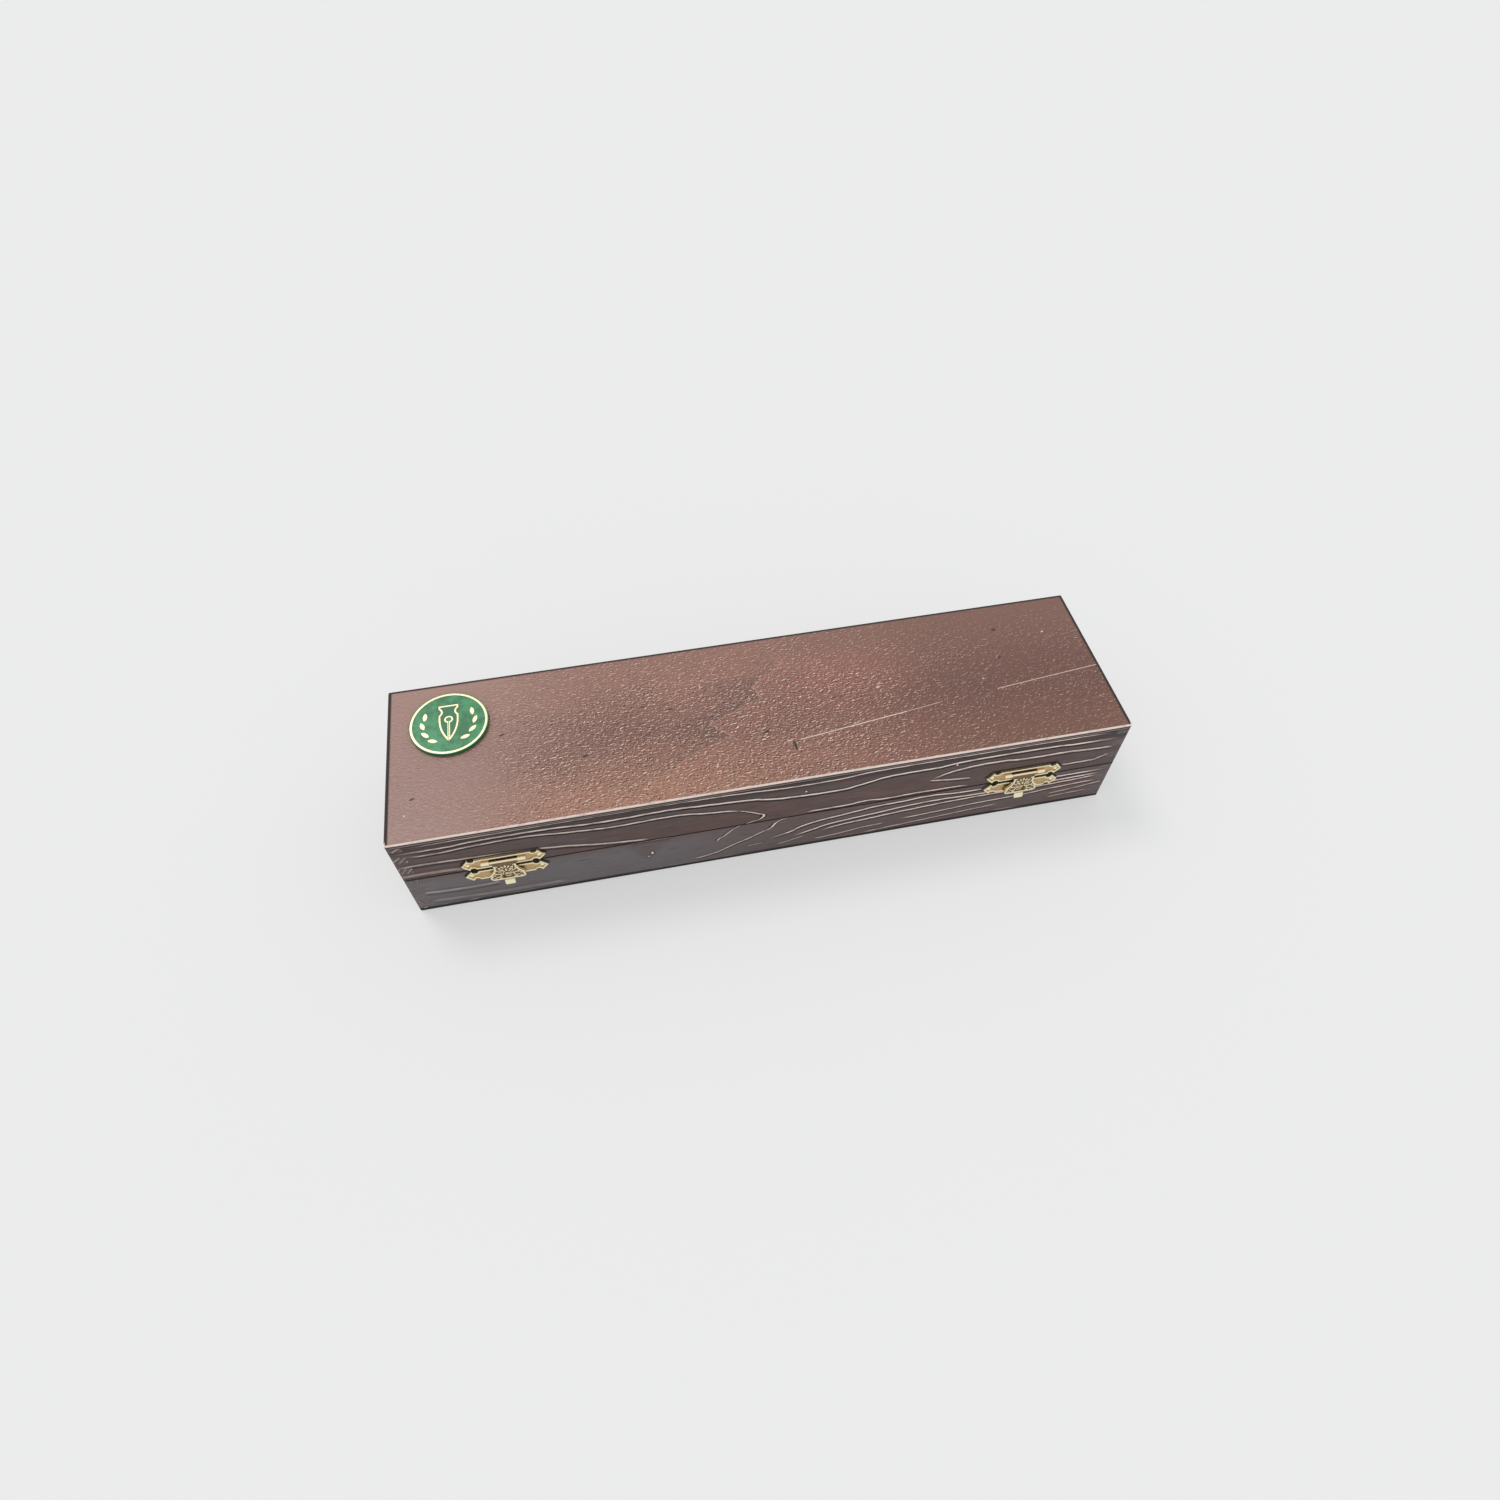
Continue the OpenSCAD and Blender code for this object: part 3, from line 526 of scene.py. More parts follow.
def ringed_grain(pith_depth, pith_height, step, weight=1.0, cool=0.0):
    """Year rings a step apart round a pith, whose depth and height wander along the board."""
    def grain(tree, run, deep, high):
        place = add(tree, "CombineXYZ", run, deep, high).outputs[0]
        sway = streaks(tree, place, (0.02, 0.06, 0.06))
        tremble = streaks(tree, place, (0.12, 0.4, 0.4))
        across = minus(tree, high, drawn_curve(tree, run, pith_height))
        inward = minus(tree, drawn_curve(tree, run, pith_depth), deep)
        ring = reach(tree, across, inward)
        slope = largest(tree, sums(tree, "DIVIDE", apart(tree, across, 0.0), ring), 0.09)
        ring = plus(tree, ring, plus(tree, times(tree, sway, 3.2), times(tree, tremble, 0.3)))
        count = sums(tree, "DIVIDE", ring, step)
        year = sums(tree, "ROUND", count)
        chance = add(tree, "TexWhiteNoise", noise_dimensions="1D")
        feed(tree, chance.inputs["W"], year)
        strength = ease(tree, chance.outputs["Value"], 0.05, 0.8, 0.25 * weight, weight)
        off = sums(tree, "DIVIDE", times(tree, minus(tree, count, year), step), slope)
        line = place_group(tree, late_line, off, 0.4, strength)
        return line["Late"], line["Furrow"], cool, 0.0
    return grain


def soften(node, width, segments=2, angle=35):
    """Eases the edges of a CAD node by a width in millimetres."""
    weld = node.modifiers.new("join", "WELD")
    weld.merge_threshold = 0.000002
    bevel = node.modifiers.new("ease", "BEVEL")
    bevel.width = width * MM
    bevel.segments = segments
    bevel.limit_method = "ANGLE"
    bevel.angle_limit = math.radians(angle)
    bevel.harden_normals = False


def finish_node(name, material, ease_width=0.0):
    """Gives a CAD node its material and, with a width, softened edges."""
    node = nodes[name]
    node.data.materials.clear()
    node.data.materials.append(material)
    if ease_width:
        soften(node, ease_width)


front_board = board_material(
    "stained_front_board", picked((0, 1, HALF[0]), (1, 1, HALF[1]), (2, 1, 0)), drawn_grain)
for half in ("base", "lid"):
    finish_node(half + "_front_wall", front_board, BOARD_EASE)

# ---------------------------------------------------- back and end wall boards
# The same softwood.  The end boards reach through the long ones in fingers, so
# their end grain shows in a row of small blocks up each corner.

# Each board is sawn from its own stretch of the wood, this far along, in millimetres
BACK_STRETCH = 500
END_STRETCH = 900

back_board = board_material(
    "stained_back_board", picked((0, -1, BACK_STRETCH), (1, -1, HALF[1]), (2, 1, 0)),
    ringed_grain([(350, 30), (440, 26), (520, 29), (650, 25)],
                 [(350, 30), (460, 22), (560, 31), (650, 26)], 2.3, 0.6))
end_board = board_material(
    "stained_end_board", picked((1, 1, END_STRETCH), (0, 1, HALF[0]), (2, 1, 0)),
    ringed_grain([(860, 26), (900, 22), (940, 27)], [(860, 16), (900, 22), (940, 14)], 2.1, 0.34,
                 0.4))
for half in ("base", "lid"):
    finish_node(half + "_back_wall", back_board, BOARD_EASE)
    for side in ("left", "right"):
        finish_node(f"{half}_{side}_wall", end_board, BOARD_EASE)

# ------------------------------------------------------------- the top panel
# Thin plywood faced with peeled veneer, stained red-brown and thinly
# varnished over raised grain.  Its front edge is rubbed pale, partly a painted
# highlight, above a dark glue line.

VENEER = (0.245, 0.097, 0.068, 1)
VENEER_DARK = (0.132, 0.060, 0.044, 1)
VENEER_PALE = (0.64, 0.38, 0.285, 1)
VENEER_COPPER_SHEEN = (0.40, 0.185, 0.11, 1)
VENEER_GREY_SHEEN = (0.29, 0.160, 0.132, 1)
VENEER_SHADE_BROWN = (0.122, 0.048, 0.033, 1)
VENEER_RED = (0.29, 0.088, 0.066, 1)
# Dark of pores and knocks, also painted as the shade behind raised grain
VENEER_PORE_AND_SHADE = (0.022, 0.012, 0.010, 1)
VARNISH_GLINT = (0.92, 0.68, 0.56, 1)
RIM_WORN_HIGHLIGHT = (0.86, 0.70, 0.62, 1)
RIM_SHADE = (0.05, 0.033, 0.03, 1)
PLY_DARK = (0.15, 0.09, 0.075, 1)
PLY_BROWN = (0.36, 0.26, 0.22, 1)
# Knocks: place along and from the front, half length, half width, turn, and tone 1 pale, 0 dark
KNOCKS = [(162.0, 16.6, 0.6, 3.4, 6, 0), (160.2, 19.5, 1.6, 0.4, 8, 1), (202.8, 40.0, 1.0, 0.5, 20, 1),
          (248.0, 36.0, 0.5, 0.4, 0, 1), (259.0, 46.0, 1.0, 0.6, 30, 0), (262.0, 62.0, 1.2, 0.7, 0, 0),
          (282.6, 57.0, 0.6, 0.5, 0, 1), (78.4, 27.9, 1.8, 0.7, 15, 0), (46.0, 45.0, 1.4, 0.7, 20, 0),
          (10.5, 20.0, 1.2, 0.6, 30, 0), (7.6, 12.7, 0.5, 0.5, 0, 1), (152.0, 25.6, 1.5, 0.6, 5, 0),
          (115.0, 45.0, 1.2, 0.6, 0, 0), (104.0, 48.5, 1.4, 0.5, 10, 0), (66.0, 29.5, 1.6, 0.3, 5, 1),
          (129.5, 13.0, 0.3, 1.2, -20, 1), (129.0, 55.0, 0.3, 0.9, 10, 1)]
# Scratches: two ends, along and from the front, and strength
SCRATCHES = [((164.3, 19.2), (211.5, 25.0), 0.85), ((211.5, 25.0), (226, 27.0), 0.4),
             ((251.8, 29.4), (299.0, 34.2), 0.55)]
BARE_WOOD = (0.95, 0.80, 0.68, 1)

veneer, tree, shader = new_material("stained_veneer")
place = millimetres(tree)
spot = add(tree, "SeparateXYZ", place).outputs
run = plus(tree, spot[0], HALF[0])
back = plus(tree, spot[1], HALF[1])
flat = add(tree, "CombineXYZ", run, back, 0.0).outputs[0]
# Slow clouds of darker stain
clouds = streaks(tree, place, (0.014, 0.03, 0.03), 4.0, 0.6, 0.6)
colour = blend_colour(tree, ease(tree, clouds, 0.32, 0.68, 0.0, 0.55), VENEER, VENEER_DARK)
# One growth figure ends in a zigzag across the panel, dark just before it
wobble = minus(tree, streaks(tree, flat, (0.2, 0.3, 0.1), 3.0), 0.5)
edge_run = drawn_curve(tree, back, [(0, 96), (11, 104), (19, 117), (26.5, 137), (34, 129), (44, 153),
                                    (50, 150), (61, 165), (68, 160), (77.4, 172)], "VECTOR")
past = minus(tree, run, plus(tree, edge_run, times(tree, wobble, 5.0)))
shade = times(tree, ease(tree, past, -26.0, -0.3, 0.0, 0.9), ease(tree, past, 0.4, 0.0))
rim_line = ease(tree, apart(tree, past, -0.5), 0.7, 0.2)
shown = ease(tree, back, 66.0, 50.0, 0.2, 1.0)
colour = blend_colour(tree, times(tree, largest(tree, shade, rim_line), shown), colour,
                      VENEER_DARK)
past_line = ease(tree, apart(tree, past, 0.7), 0.8, 0.2, 0.0, 0.35)
colour = blend_colour(tree, times(tree, past_line, shown), colour, VENEER_PALE)
# Painted sheen, greyer, at the left end, and painted shade, browner, at the right
colour = blend_colour(tree, ease(tree, run, 95.0, 20.0, 0.0, 0.75), colour, VENEER_GREY_SHEEN)
colour = blend_colour(tree, ease(tree, run, 165.0, 245.0, 0.0, 0.85), colour, VENEER_SHADE_BROWN)
# Redder round one place right of the zigzag, and paler towards the back
from_red = add(tree, "VectorMath", stretch(tree, flat, (1 / 38, 1 / 20, 1)), (4.95, 2.4, 0),
               operation="DISTANCE").outputs["Value"]
colour = blend_colour(tree, ease(tree, from_red, 1.15, 0.1, 0.0, 0.45), colour, VENEER_RED)
colour = blend_colour(tree, ease(tree, back, 30.0, 74.0, 0.0, 0.11), colour, VENEER_PALE)
# Painted copper sheen along the front and left of the middle
copper_sheen = times(tree, ease(tree, back, 34.0, 2.0), ease(tree, run, 210.0, 90.0, 0.15, 1.0))
copper_sheen = times(tree, copper_sheen, ease(tree, run, 15.0, 95.0, 0.0, 1.0))
colour = blend_colour(tree, times(tree, copper_sheen, 0.75), colour, VENEER_COPPER_SHEEN)
# Raised grain under the varnish: strong in the middle, weak at the left end and far right
rough_zone = times(tree, ease(tree, run, 26.0, 75.0, 0.16, 1.0),
                   ease(tree, run, 255.0, 165.0, 0.28, 1.0))
rough_zone = times(tree, rough_zone, ease(tree, back, 76.0, 46.0, 0.4, 1.0))
patchy = streaks(tree, flat, (0.035, 0.06, 1), 3.0, 0.6)
rough_zone = times(tree, rough_zone, ease(tree, patchy, 0.3, 0.65, 0.5, 1.0))
swirl = add(tree, "VectorMath", flat, streaks(tree, flat, (0.05, 0.05, 1), 1.0),
            operation="ADD").outputs[0]
grit, lee = [streaks(tree, add(tree, "VectorMath", swirl, shift, operation="ADD").outputs[0],
                     (0.85, 1.6, 1.0), 2.0, 0.62)
             for shift in ((0.14, -0.17, 0), (-0.14, 0.17, 0))]
sparkle = streaks(tree, flat, (0.4, 0.75, 1.0), 2.0, 0.7)
rough_zone = times(tree, rough_zone, ease(tree, sparkle, 0.38, 0.6, 0.2, 1.3))
# Where a bump faces the window the varnish glints, and behind it lies its shade
lift = minus(tree, lee, grit)
pale = times(tree, ease(tree, lift, 0.03, 0.15), times(tree, rough_zone, 0.9))
dark = times(tree, ease(tree, lift, -0.03, -0.15), times(tree, rough_zone, 0.95))
colour = blend_colour(tree, pale, colour, VENEER_PALE)
colour = blend_colour(tree, dark, colour, VENEER_PORE_AND_SHADE)
glint = times(tree, ease(tree, lift, 0.09, 0.17), ease(tree, sparkle, 0.48, 0.58))
colour = blend_colour(tree, times(tree, glint, rough_zone), colour, VARNISH_GLINT)
pores = streaks(tree, flat, (0.35, 2.6, 1.0))
colour = blend_colour(tree, ease(tree, pores, 0.36, 0.27, 0.0, 0.45), colour, VENEER_PORE_AND_SHADE)
# Knocks and scratches
marks = []
for along, deep, length, width, turn, tone in KNOCKS:
    there = add(tree, "Mapping", flat, (along, deep, 0), (0, 0, math.radians(turn)),
                (length, width, 1), vector_type="TEXTURE").outputs[0]
    away = add(tree, "VectorMath", there, operation="LENGTH").outputs["Value"]
    mark = ease(tree, plus(tree, away, times(tree, wobble, 0.8)), 1.15, 0.5)
    colour = blend_colour(tree, times(tree, mark, 0.6 if tone else 0.95), colour,
                          BARE_WOOD if tone else VENEER_PORE_AND_SHADE)
    marks.append(mark)
for (x0, y0), (x1, y1), strength in SCRATCHES:
    length = math.hypot(x1 - x0, y1 - y0)
    there = add(tree, "Mapping", flat, ((x0 + x1) / 2, (y0 + y1) / 2, 0),
                (0, 0, math.atan2(y1 - y0, x1 - x0)), (length / 2, 0.27, 1),
                vector_type="TEXTURE").outputs[0]
    part = add(tree, "SeparateXYZ", there).outputs
    mark = times(tree, ease(tree, apart(tree, part[1], 0.0), 1.0, 0.3),
                 ease(tree, apart(tree, part[0], 0.0), 1.0, 0.97, 0.0, strength))
    colour = blend_colour(tree, mark, colour, BARE_WOOD)
    marks.append(mark)
# Painted shade along the far edge and both end edges
to_edge = smallest(tree, minus(tree, HALF[1], spot[1]),
                   minus(tree, HALF[0], apart(tree, spot[0], 0.0)))
rim_shade = ease(tree, to_edge, 2.2, 1.2, 0.0, 0.96)
colour = blend_colour(tree, rim_shade, colour, EDGE_SHADE)
# The panel's edge: rubbed pale on top at the front, partly a painted highlight, and
# painted shade on top of the other edges; then a dark ply, a brown one and the glue line
ragged = noise(tree, place, 0.4, 4.0, 0.7)
rim = times(tree, ease(tree, spot[2], TOP_Z - 0.03, TOP_Z - 0.16),
            ease(tree, ragged, 0.25, 0.5, 0.5, 1.0))
rim_wear_and_light = blend_colour(tree, ease(tree, back, 3.0, 1.0), RIM_SHADE, RIM_WORN_HIGHLIGHT)
colour = blend_colour(tree, rim, colour, rim_wear_and_light)
for top, bottom, tone in ((0.68, 0.74, FURROW_AND_SHADE), (1.3, 1.36, PLY_DARK),
                          (1.72, 1.76, PLY_BROWN), (1.9, 1.92, FURROW_AND_SHADE)):
    colour = blend_colour(tree, ease(tree, spot[2], TOP_Z - top, TOP_Z - bottom), colour, tone)
feed(tree, shader.inputs["Base Color"], colour)
feed(tree, shader.inputs["Roughness"],
     largest(tree, ease(tree, grit, 0.3, 0.7, 0.45, 0.33), rim_shade))
shader.inputs["Specular IOR Level"].default_value = 0.6
relief = times(tree, grit, plus(tree, times(tree, rough_zone, 2.6), 0.4))
for mark in marks:
    relief = minus(tree, relief, times(tree, mark, 0.5))
raise_surface(tree, shader, 1.0, 0.16, relief)
finish_node("top_panel", veneer)

# ---------------------------------------------------------- the bottom panel
# A plain board of the same softwood, glued under the walls.  Its grain runs
# along the case.

BOTTOM_STRETCH = 1300

bottom_board = board_material(
    "stained_bottom_board", picked((0, 1, BOTTOM_STRETCH), (2, 1, 0), (1, 1, HALF[1])),
    ringed_grain([(1150, 28), (1270, 32), (1360, 26), (1450, 31)],
                 [(1150, 32), (1300, 44), (1450, 36)], 2.6, 0.4))
finish_node("bottom_panel", bottom_board)

# --------------------------------------------------------------------- hinges
# Two pressed brass butt hinges, let into the rims of the back walls, with
# their knuckles outside.  Handling has dulled the brass in patches.

HINGE_BRASS = (0.74, 0.53, 0.25, 1)
HINGE_BROWN = (0.3, 0.19, 0.08, 1)
LEAF_EASE = 0.12
PIN_EASE = 0.2

# Patches where old brass has gone brown: Wear says how much, Place is in millimetres
tarnish, takes, gives = new_group("tarnish", [("Place", "Vector"), ("Wear", "Float")],
                                  [("Mask", "Float"), ("Grain", "Float")])
broad = noise(tarnish, takes["Place"], 0.35, 4.0, 0.6)
close = noise(tarnish, takes["Place"], 2.2, 3.0, 0.6)
mixed = plus(tarnish, times(tarnish, broad, 0.6), times(tarnish, close, 0.4))
bar = minus(tarnish, 0.82, times(tarnish, takes["Wear"], 0.5))
spread = times(tarnish, minus(tarnish, mixed, bar), 6.0, clamp=True)
feed(tarnish, gives["Mask"], spread)
feed(tarnish, gives["Grain"], noise(tarnish, takes["Place"], 6.0, 3.0, 0.6))


def brass_material(name, bright, dull, wear, shine, hollows=None):
    """Brass, bright where rubbed.  For a stamped sheet hollows gives the depths along Y, in
    millimetres, of its hollows and of its tops, how dull the hollows are, and their top height."""
    material, tree, shader = new_material(name)
    place = millimetres(tree)
    old = place_group(tree, tarnish, place, wear)
    mask = old["Mask"]
    if hollows:
        floor, top, dullness, below = hollows
        spot = add(tree, "SeparateXYZ", place).outputs
        hollow = times(tree, ease(tree, spot[1], top, floor, 0.0, dullness),
                       ease(tree, spot[1], floor + 0.15, floor + 0.05))
        hollow = times(tree, hollow, ease(tree, spot[2], below, below - 0.3))
        mask = largest(tree, mask, hollow)
    feed(tree, shader.inputs["Base Color"], blend_colour(tree, mask, bright, dull))
    feed(tree, shader.inputs["Roughness"], ease(tree, mask, 0.0, 1.0, shine, shine + 0.2))
    shader.inputs["Metallic"].default_value = 1.0
    raise_surface(tree, shader, 0.25, 0.05, old["Grain"])
    return material


hinge_brass = brass_material("hinge_brass", HINGE_BRASS, HINGE_BROWN, 0.45, 0.3)
for side in ("left", "right"):
    for leaf in ("base_hinge_leaf_", "lid_hinge_leaf_"):
        finish_node(leaf + side, hinge_brass, LEAF_EASE)
    finish_node("hinge_pin_" + side, hinge_brass, PIN_EASE)
for half in ("base", "lid"):
    finish_node(half + "_hinge_screws", hinge_brass)

# ------------------------------------------------------------- clasp plates
# Plates stamped from thin brass sheet, with a bead round a pointed, scalloped
# outline, each nailed on with two round-headed brads.

BRASS = (1.0, 0.90, 0.62, 1)
BRASS_DULL = (0.60, 0.42, 0.22, 1)
FRONT_Y = case_low.y / MM
PLATE_EASE = 0.14
WIRE_EASE = 0.1
BRAD_EASE = 0.05
plate_brass = brass_material("plate_brass", BRASS, BRASS_DULL, 0.25, 0.24,
                             (FRONT_Y - 0.6, FRONT_Y - 0.9, 0.95, TOP_Z))
wire_brass = brass_material("wire_brass", BRASS, BRASS_DULL, 0.15, 0.2)
for side in ("left", "right"):
    finish_node("clasp_plate_" + side, plate_brass, PLATE_EASE)
    finish_node("catch_plate_" + side, plate_brass, PLATE_EASE)
    finish_node("clasp_wire_" + side, wire_brass, WIRE_EASE)
finish_node("clasp_plate_brads", wire_brass, BRAD_EASE)
finish_node("catch_plate_brads", wire_brass, BRAD_EASE)

# -------------------------------------------------------------- clasp flaps
# The flap of a clasp is stamped from the same sheet and rolled round the wire
# at its top.  A bead borders it and sprays of leaves and scrolls fill it, round
# the slot that snaps over the catch, and a plain finger tab leans out below.

SHEET = 0.5
SHEET_BACK = FRONT_Y - 1.5
WIRE_Y = FRONT_Y - 1.05
ROLL_R = 0.95
ROLL_W = 10.5
ROLL_CURL = 305
FLAP_LOW = 12.1
BORDER = 0.8
BORDER_TOP = 1.6
EMBOSS = 0.38
BITE = 0.02
LEAF_HEIGHT = EMBOSS * 1.9
SCROLL_R = 0.33
SLOT = (3.6, 2.2)
SLOT_DROP = 9.6
TAB = (4.0, 3.4)
TAB_ROOT = 0.3
TAB_CORNER = 0.5
TAB_LEAN = 15
# Half of the outline, from the wire down: distance out, distance below the wire
FLAP_OUTLINE = [(4.72, 0), (4.4, 2.9), (4.58, 4.3), (5.2, 5.9), (6.1, 7.2), (7.1, 8.2),
                (7.1, 8.6), (6.68, 8.95), (6.6, 9.2), (6.68, 9.45), (7.1, 9.8),
                (7.1, 10.6), (6.66, 11.66), (5.6, 12.1), (0, 12.1), (0, 0)]
# Leaves of the spray: distance out, below the wire, turn in degrees, length, width
SPRAY = [(0, 2.8, 0, 2.2, 0.95), (1.2, 3.2, -32, 2.1, 0.85), (2.4, 3.7, -58, 1.9, 0.8),
         (3.3, 2.2, -25, 1.5, 0.6), (0, 5.3, 0, 2.2, 0.95), (1.25, 5.9, -42, 2.1, 0.8),
         (2.6, 6.2, -68, 2.0, 0.75), (3.7, 5.1, -38, 1.7, 0.65), (4.7, 7.2, -58, 2.0, 0.7),
         (0.0, 7.6, 90, 2.4, 0.6), (3.0, 11.0, -112, 1.9, 0.7), (5.2, 10.8, -80, 1.6, 0.65)]
# Scrolls: distance out, below the wire, radius, first angle, sweep
SCROLLS = [(3.75, 8.9, 1.25, 40, 280), (2.0, 4.6, 0.55, 150, 250), (5.6, 8.9, 0.5, 200, -250),
           (1.9, 7.5, 0.5, 20, -260)]


def flat_face(shape, outline, y, wire_z):
    """A flat face standing on the front, from half an outline mirrored across the middle."""
    half = shape.faces.new([shape.verts.new((x, y, wire_z - drop)) for x, drop in outline])
    bmesh.ops.mirror(shape, geom=[half, *half.edges, *half.verts], axis="X", merge_dist=0.001)
    seam = [edge for edge in shape.edges if all(abs(v.co.x) < 0.001 for v in edge.verts)]
    bmesh.ops.dissolve_edges(shape, edges=seam)


def new_verts(made):
    """The vertices among what a bmesh operator made."""
    return [part for part in made["geom"] if isinstance(part, bmesh.types.BMVert)]


def join(whole, part):
    """Adds one bmesh to another and frees it."""
    passing = bpy.data.meshes.new("passing")
    part.to_mesh(passing)
    part.free()
    whole.from_mesh(passing)
    bpy.data.meshes.remove(passing)


def make_flap(name, middle_x, wire_z):
    """One flap in millimetres about x = 0, moved to its clasp and scaled to metres."""
    flap = bmesh.new()
    front = SHEET_BACK - SHEET
    # Stamped sheet with its slot
    flat_face(flap, FLAP_OUTLINE, SHEET_BACK, wire_z)
    slot_mid = wire_z - SLOT_DROP
    cuts = [((x, 0, 0), (1, 0, 0)) for x in (-SLOT[0] / 2, SLOT[0] / 2)]
    cuts += [((0, 0, slot_mid + z), (0, 0, 1)) for z in (-SLOT[1] / 2, SLOT[1] / 2)]
    for spot, facing in cuts:
        bmesh.ops.bisect_plane(flap, geom=flap.verts[:] + flap.edges[:] + flap.faces[:],
                               plane_co=spot, plane_no=facing)
    inside = [f for f in flap.faces if abs(f.calc_center_median().x) < SLOT[0] / 2
              and abs(f.calc_center_median().z - slot_mid) < SLOT[1] / 2]
    bmesh.ops.delete(flap, geom=inside, context="FACES")
    made = bmesh.ops.extrude_face_region(flap, geom=flap.faces[:])
    bmesh.ops.translate(flap, verts=new_verts(made), vec=(0, -SHEET, 0))
    bmesh.ops.recalc_face_normals(flap, faces=flap.faces)
    # Bead round its edge, from below the roll
    bead = bmesh.new()
    flat_face(bead, FLAP_OUTLINE, front + BITE, wire_z)
    ring = bmesh.ops.inset_region(bead, faces=bead.faces[:], thickness=BORDER,
                                  use_even_offset=True, use_boundary=True)["faces"]
    bmesh.ops.delete(bead, geom=[f for f in bead.faces if f not in ring], context="FACES")
    bmesh.ops.bisect_plane(bead, geom=bead.verts[:] + bead.edges[:] + bead.faces[:],
                           plane_co=(0, 0, wire_z - BORDER_TOP), plane_no=(0, 0, 1),
                           clear_outer=True)
    made = bmesh.ops.extrude_face_region(bead, geom=bead.faces[:])
    bmesh.ops.translate(bead, verts=new_verts(made), vec=(0, -EMBOSS - BITE, 0))
    bmesh.ops.recalc_face_normals(bead, faces=bead.faces)
    ridges = [edge for edge in bead.edges
              if all(v.co.y < front - EMBOSS / 2 for v in edge.verts)
              and len(edge.link_faces) == 2 and edge.calc_face_angle() > 0.7]
    bmesh.ops.bevel(bead, geom=ridges, offset=0.15, segments=3, affect="EDGES", profile=0.5,
                    material=-1)
    join(flap, bead)
    # Roll: a strip of the sheet curled over the wire and round behind it
    roll = bmesh.new()
    outer = WIRE_Y - ROLL_R
    inner = outer + SHEET - BITE
    strip = [roll.verts.new((x, y, wire_z)) for x, y in
             ((-ROLL_W / 2, outer), (ROLL_W / 2, outer), (ROLL_W / 2, inner), (-ROLL_W / 2, inner))]
    face = roll.faces.new(strip)
    bmesh.ops.spin(roll, geom=[face], cent=(0, WIRE_Y, wire_z), axis=(-1, 0, 0),
                   angle=math.radians(ROLL_CURL), steps=26)
    bmesh.ops.recalc_face_normals(roll, faces=roll.faces)
    join(flap, roll)
    # Finger tab
    tab = bmesh.new()
    bmesh.ops.create_cube(tab, size=1)
    bmesh.ops.scale(tab, vec=(TAB[0], SHEET, TAB[1] + TAB_ROOT), verts=tab.verts)
    bmesh.ops.bevel(tab, geom=[e for e in tab.edges if abs(e.verts[0].co.y - e.verts[1].co.y) > 0.1
                               and e.verts[0].co.z < 0],
                    offset=TAB_CORNER, segments=3, affect="EDGES", profile=0.5, material=-1)
    bmesh.ops.translate(tab, vec=(0, SHEET / 2, (TAB_ROOT - TAB[1]) / 2), verts=tab.verts)
    bmesh.ops.rotate(tab, cent=(0, 0, 0), matrix=Matrix.Rotation(math.radians(-TAB_LEAN), 3, "X"),
                     verts=tab.verts)
    bmesh.ops.translate(tab, vec=(0, front, wire_z - FLAP_LOW), verts=tab.verts)
    join(flap, tab)
    # Leaves and scrolls in low relief
    for x, drop, turn, length, width in SPRAY:
        for side in ((-1, 1) if x else (1,)):
            leaf = bmesh.new()
            bmesh.ops.create_uvsphere(leaf, u_segments=10, v_segments=8, radius=0.5)
            bmesh.ops.scale(leaf, vec=(width, LEAF_HEIGHT, length), verts=leaf.verts)
            bmesh.ops.rotate(leaf, cent=(0, 0, 0),
                             matrix=Matrix.Rotation(math.radians(-turn * side), 3, "Y"),
                             verts=leaf.verts)
            bmesh.ops.translate(leaf, vec=(x * side, front, wire_z - drop), verts=leaf.verts)
            join(flap, leaf)
    for x, drop, radius, start, sweep in SCROLLS:
        for side in (-1, 1):
            scroll = bmesh.new()
            bmesh.ops.create_circle(scroll, cap_ends=True, segments=8, radius=SCROLL_R)
            first = Matrix.Rotation(math.radians(-start), 3, "Y")
            bmesh.ops.rotate(scroll, cent=(0, 0, 0), matrix=first, verts=scroll.verts)
            bmesh.ops.translate(scroll, vec=first @ Vector((radius, 0, 0)), verts=scroll.verts)
            bmesh.ops.spin(scroll, geom=scroll.faces[:], cent=(0, 0, 0), axis=(0, -1, 0),
                           angle=math.radians(sweep), steps=14)
            bmesh.ops.scale(scroll, vec=(side, 1, 1), verts=scroll.verts)
            bmesh.ops.translate(scroll, vec=(x * side, front, wire_z - drop), verts=scroll.verts)
            bmesh.ops.recalc_face_normals(scroll, faces=scroll.faces)
            join(flap, scroll)
    bmesh.ops.translate(flap, vec=(middle_x, 0, 0), verts=flap.verts)
    bmesh.ops.scale(flap, vec=(MM, MM, MM), verts=flap.verts)
    piece = finish_mesh(name, flap, flap_brass, smooth=40)
    edges = piece.modifiers.new("ease", "BEVEL")
    edges.width = 0.07 * MM
    edges.segments = 2
    edges.limit_method = "ANGLE"
    edges.angle_limit = math.radians(50)
    return piece


WIRE_Z = (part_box("clasp_wire_left")[0].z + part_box("clasp_wire_left")[1].z) / 2 / MM
# Brown of tarnish and hollows, and also the painted shade on the back of the roll
FLAP_TARNISH_AND_SHADE = (0.20, 0.115, 0.055, 1)
flap_brass = brass_material("flap_brass", BRASS, FLAP_TARNISH_AND_SHADE, 0.3, 0.2,
                            (SHEET_BACK - SHEET, SHEET_BACK - SHEET - 0.36, 0.95, WIRE_Z + 0.5))
tree = flap_brass.node_tree
shader = tree.nodes["Principled BSDF"]
spot = add(tree, "SeparateXYZ", millimetres(tree)).outputs
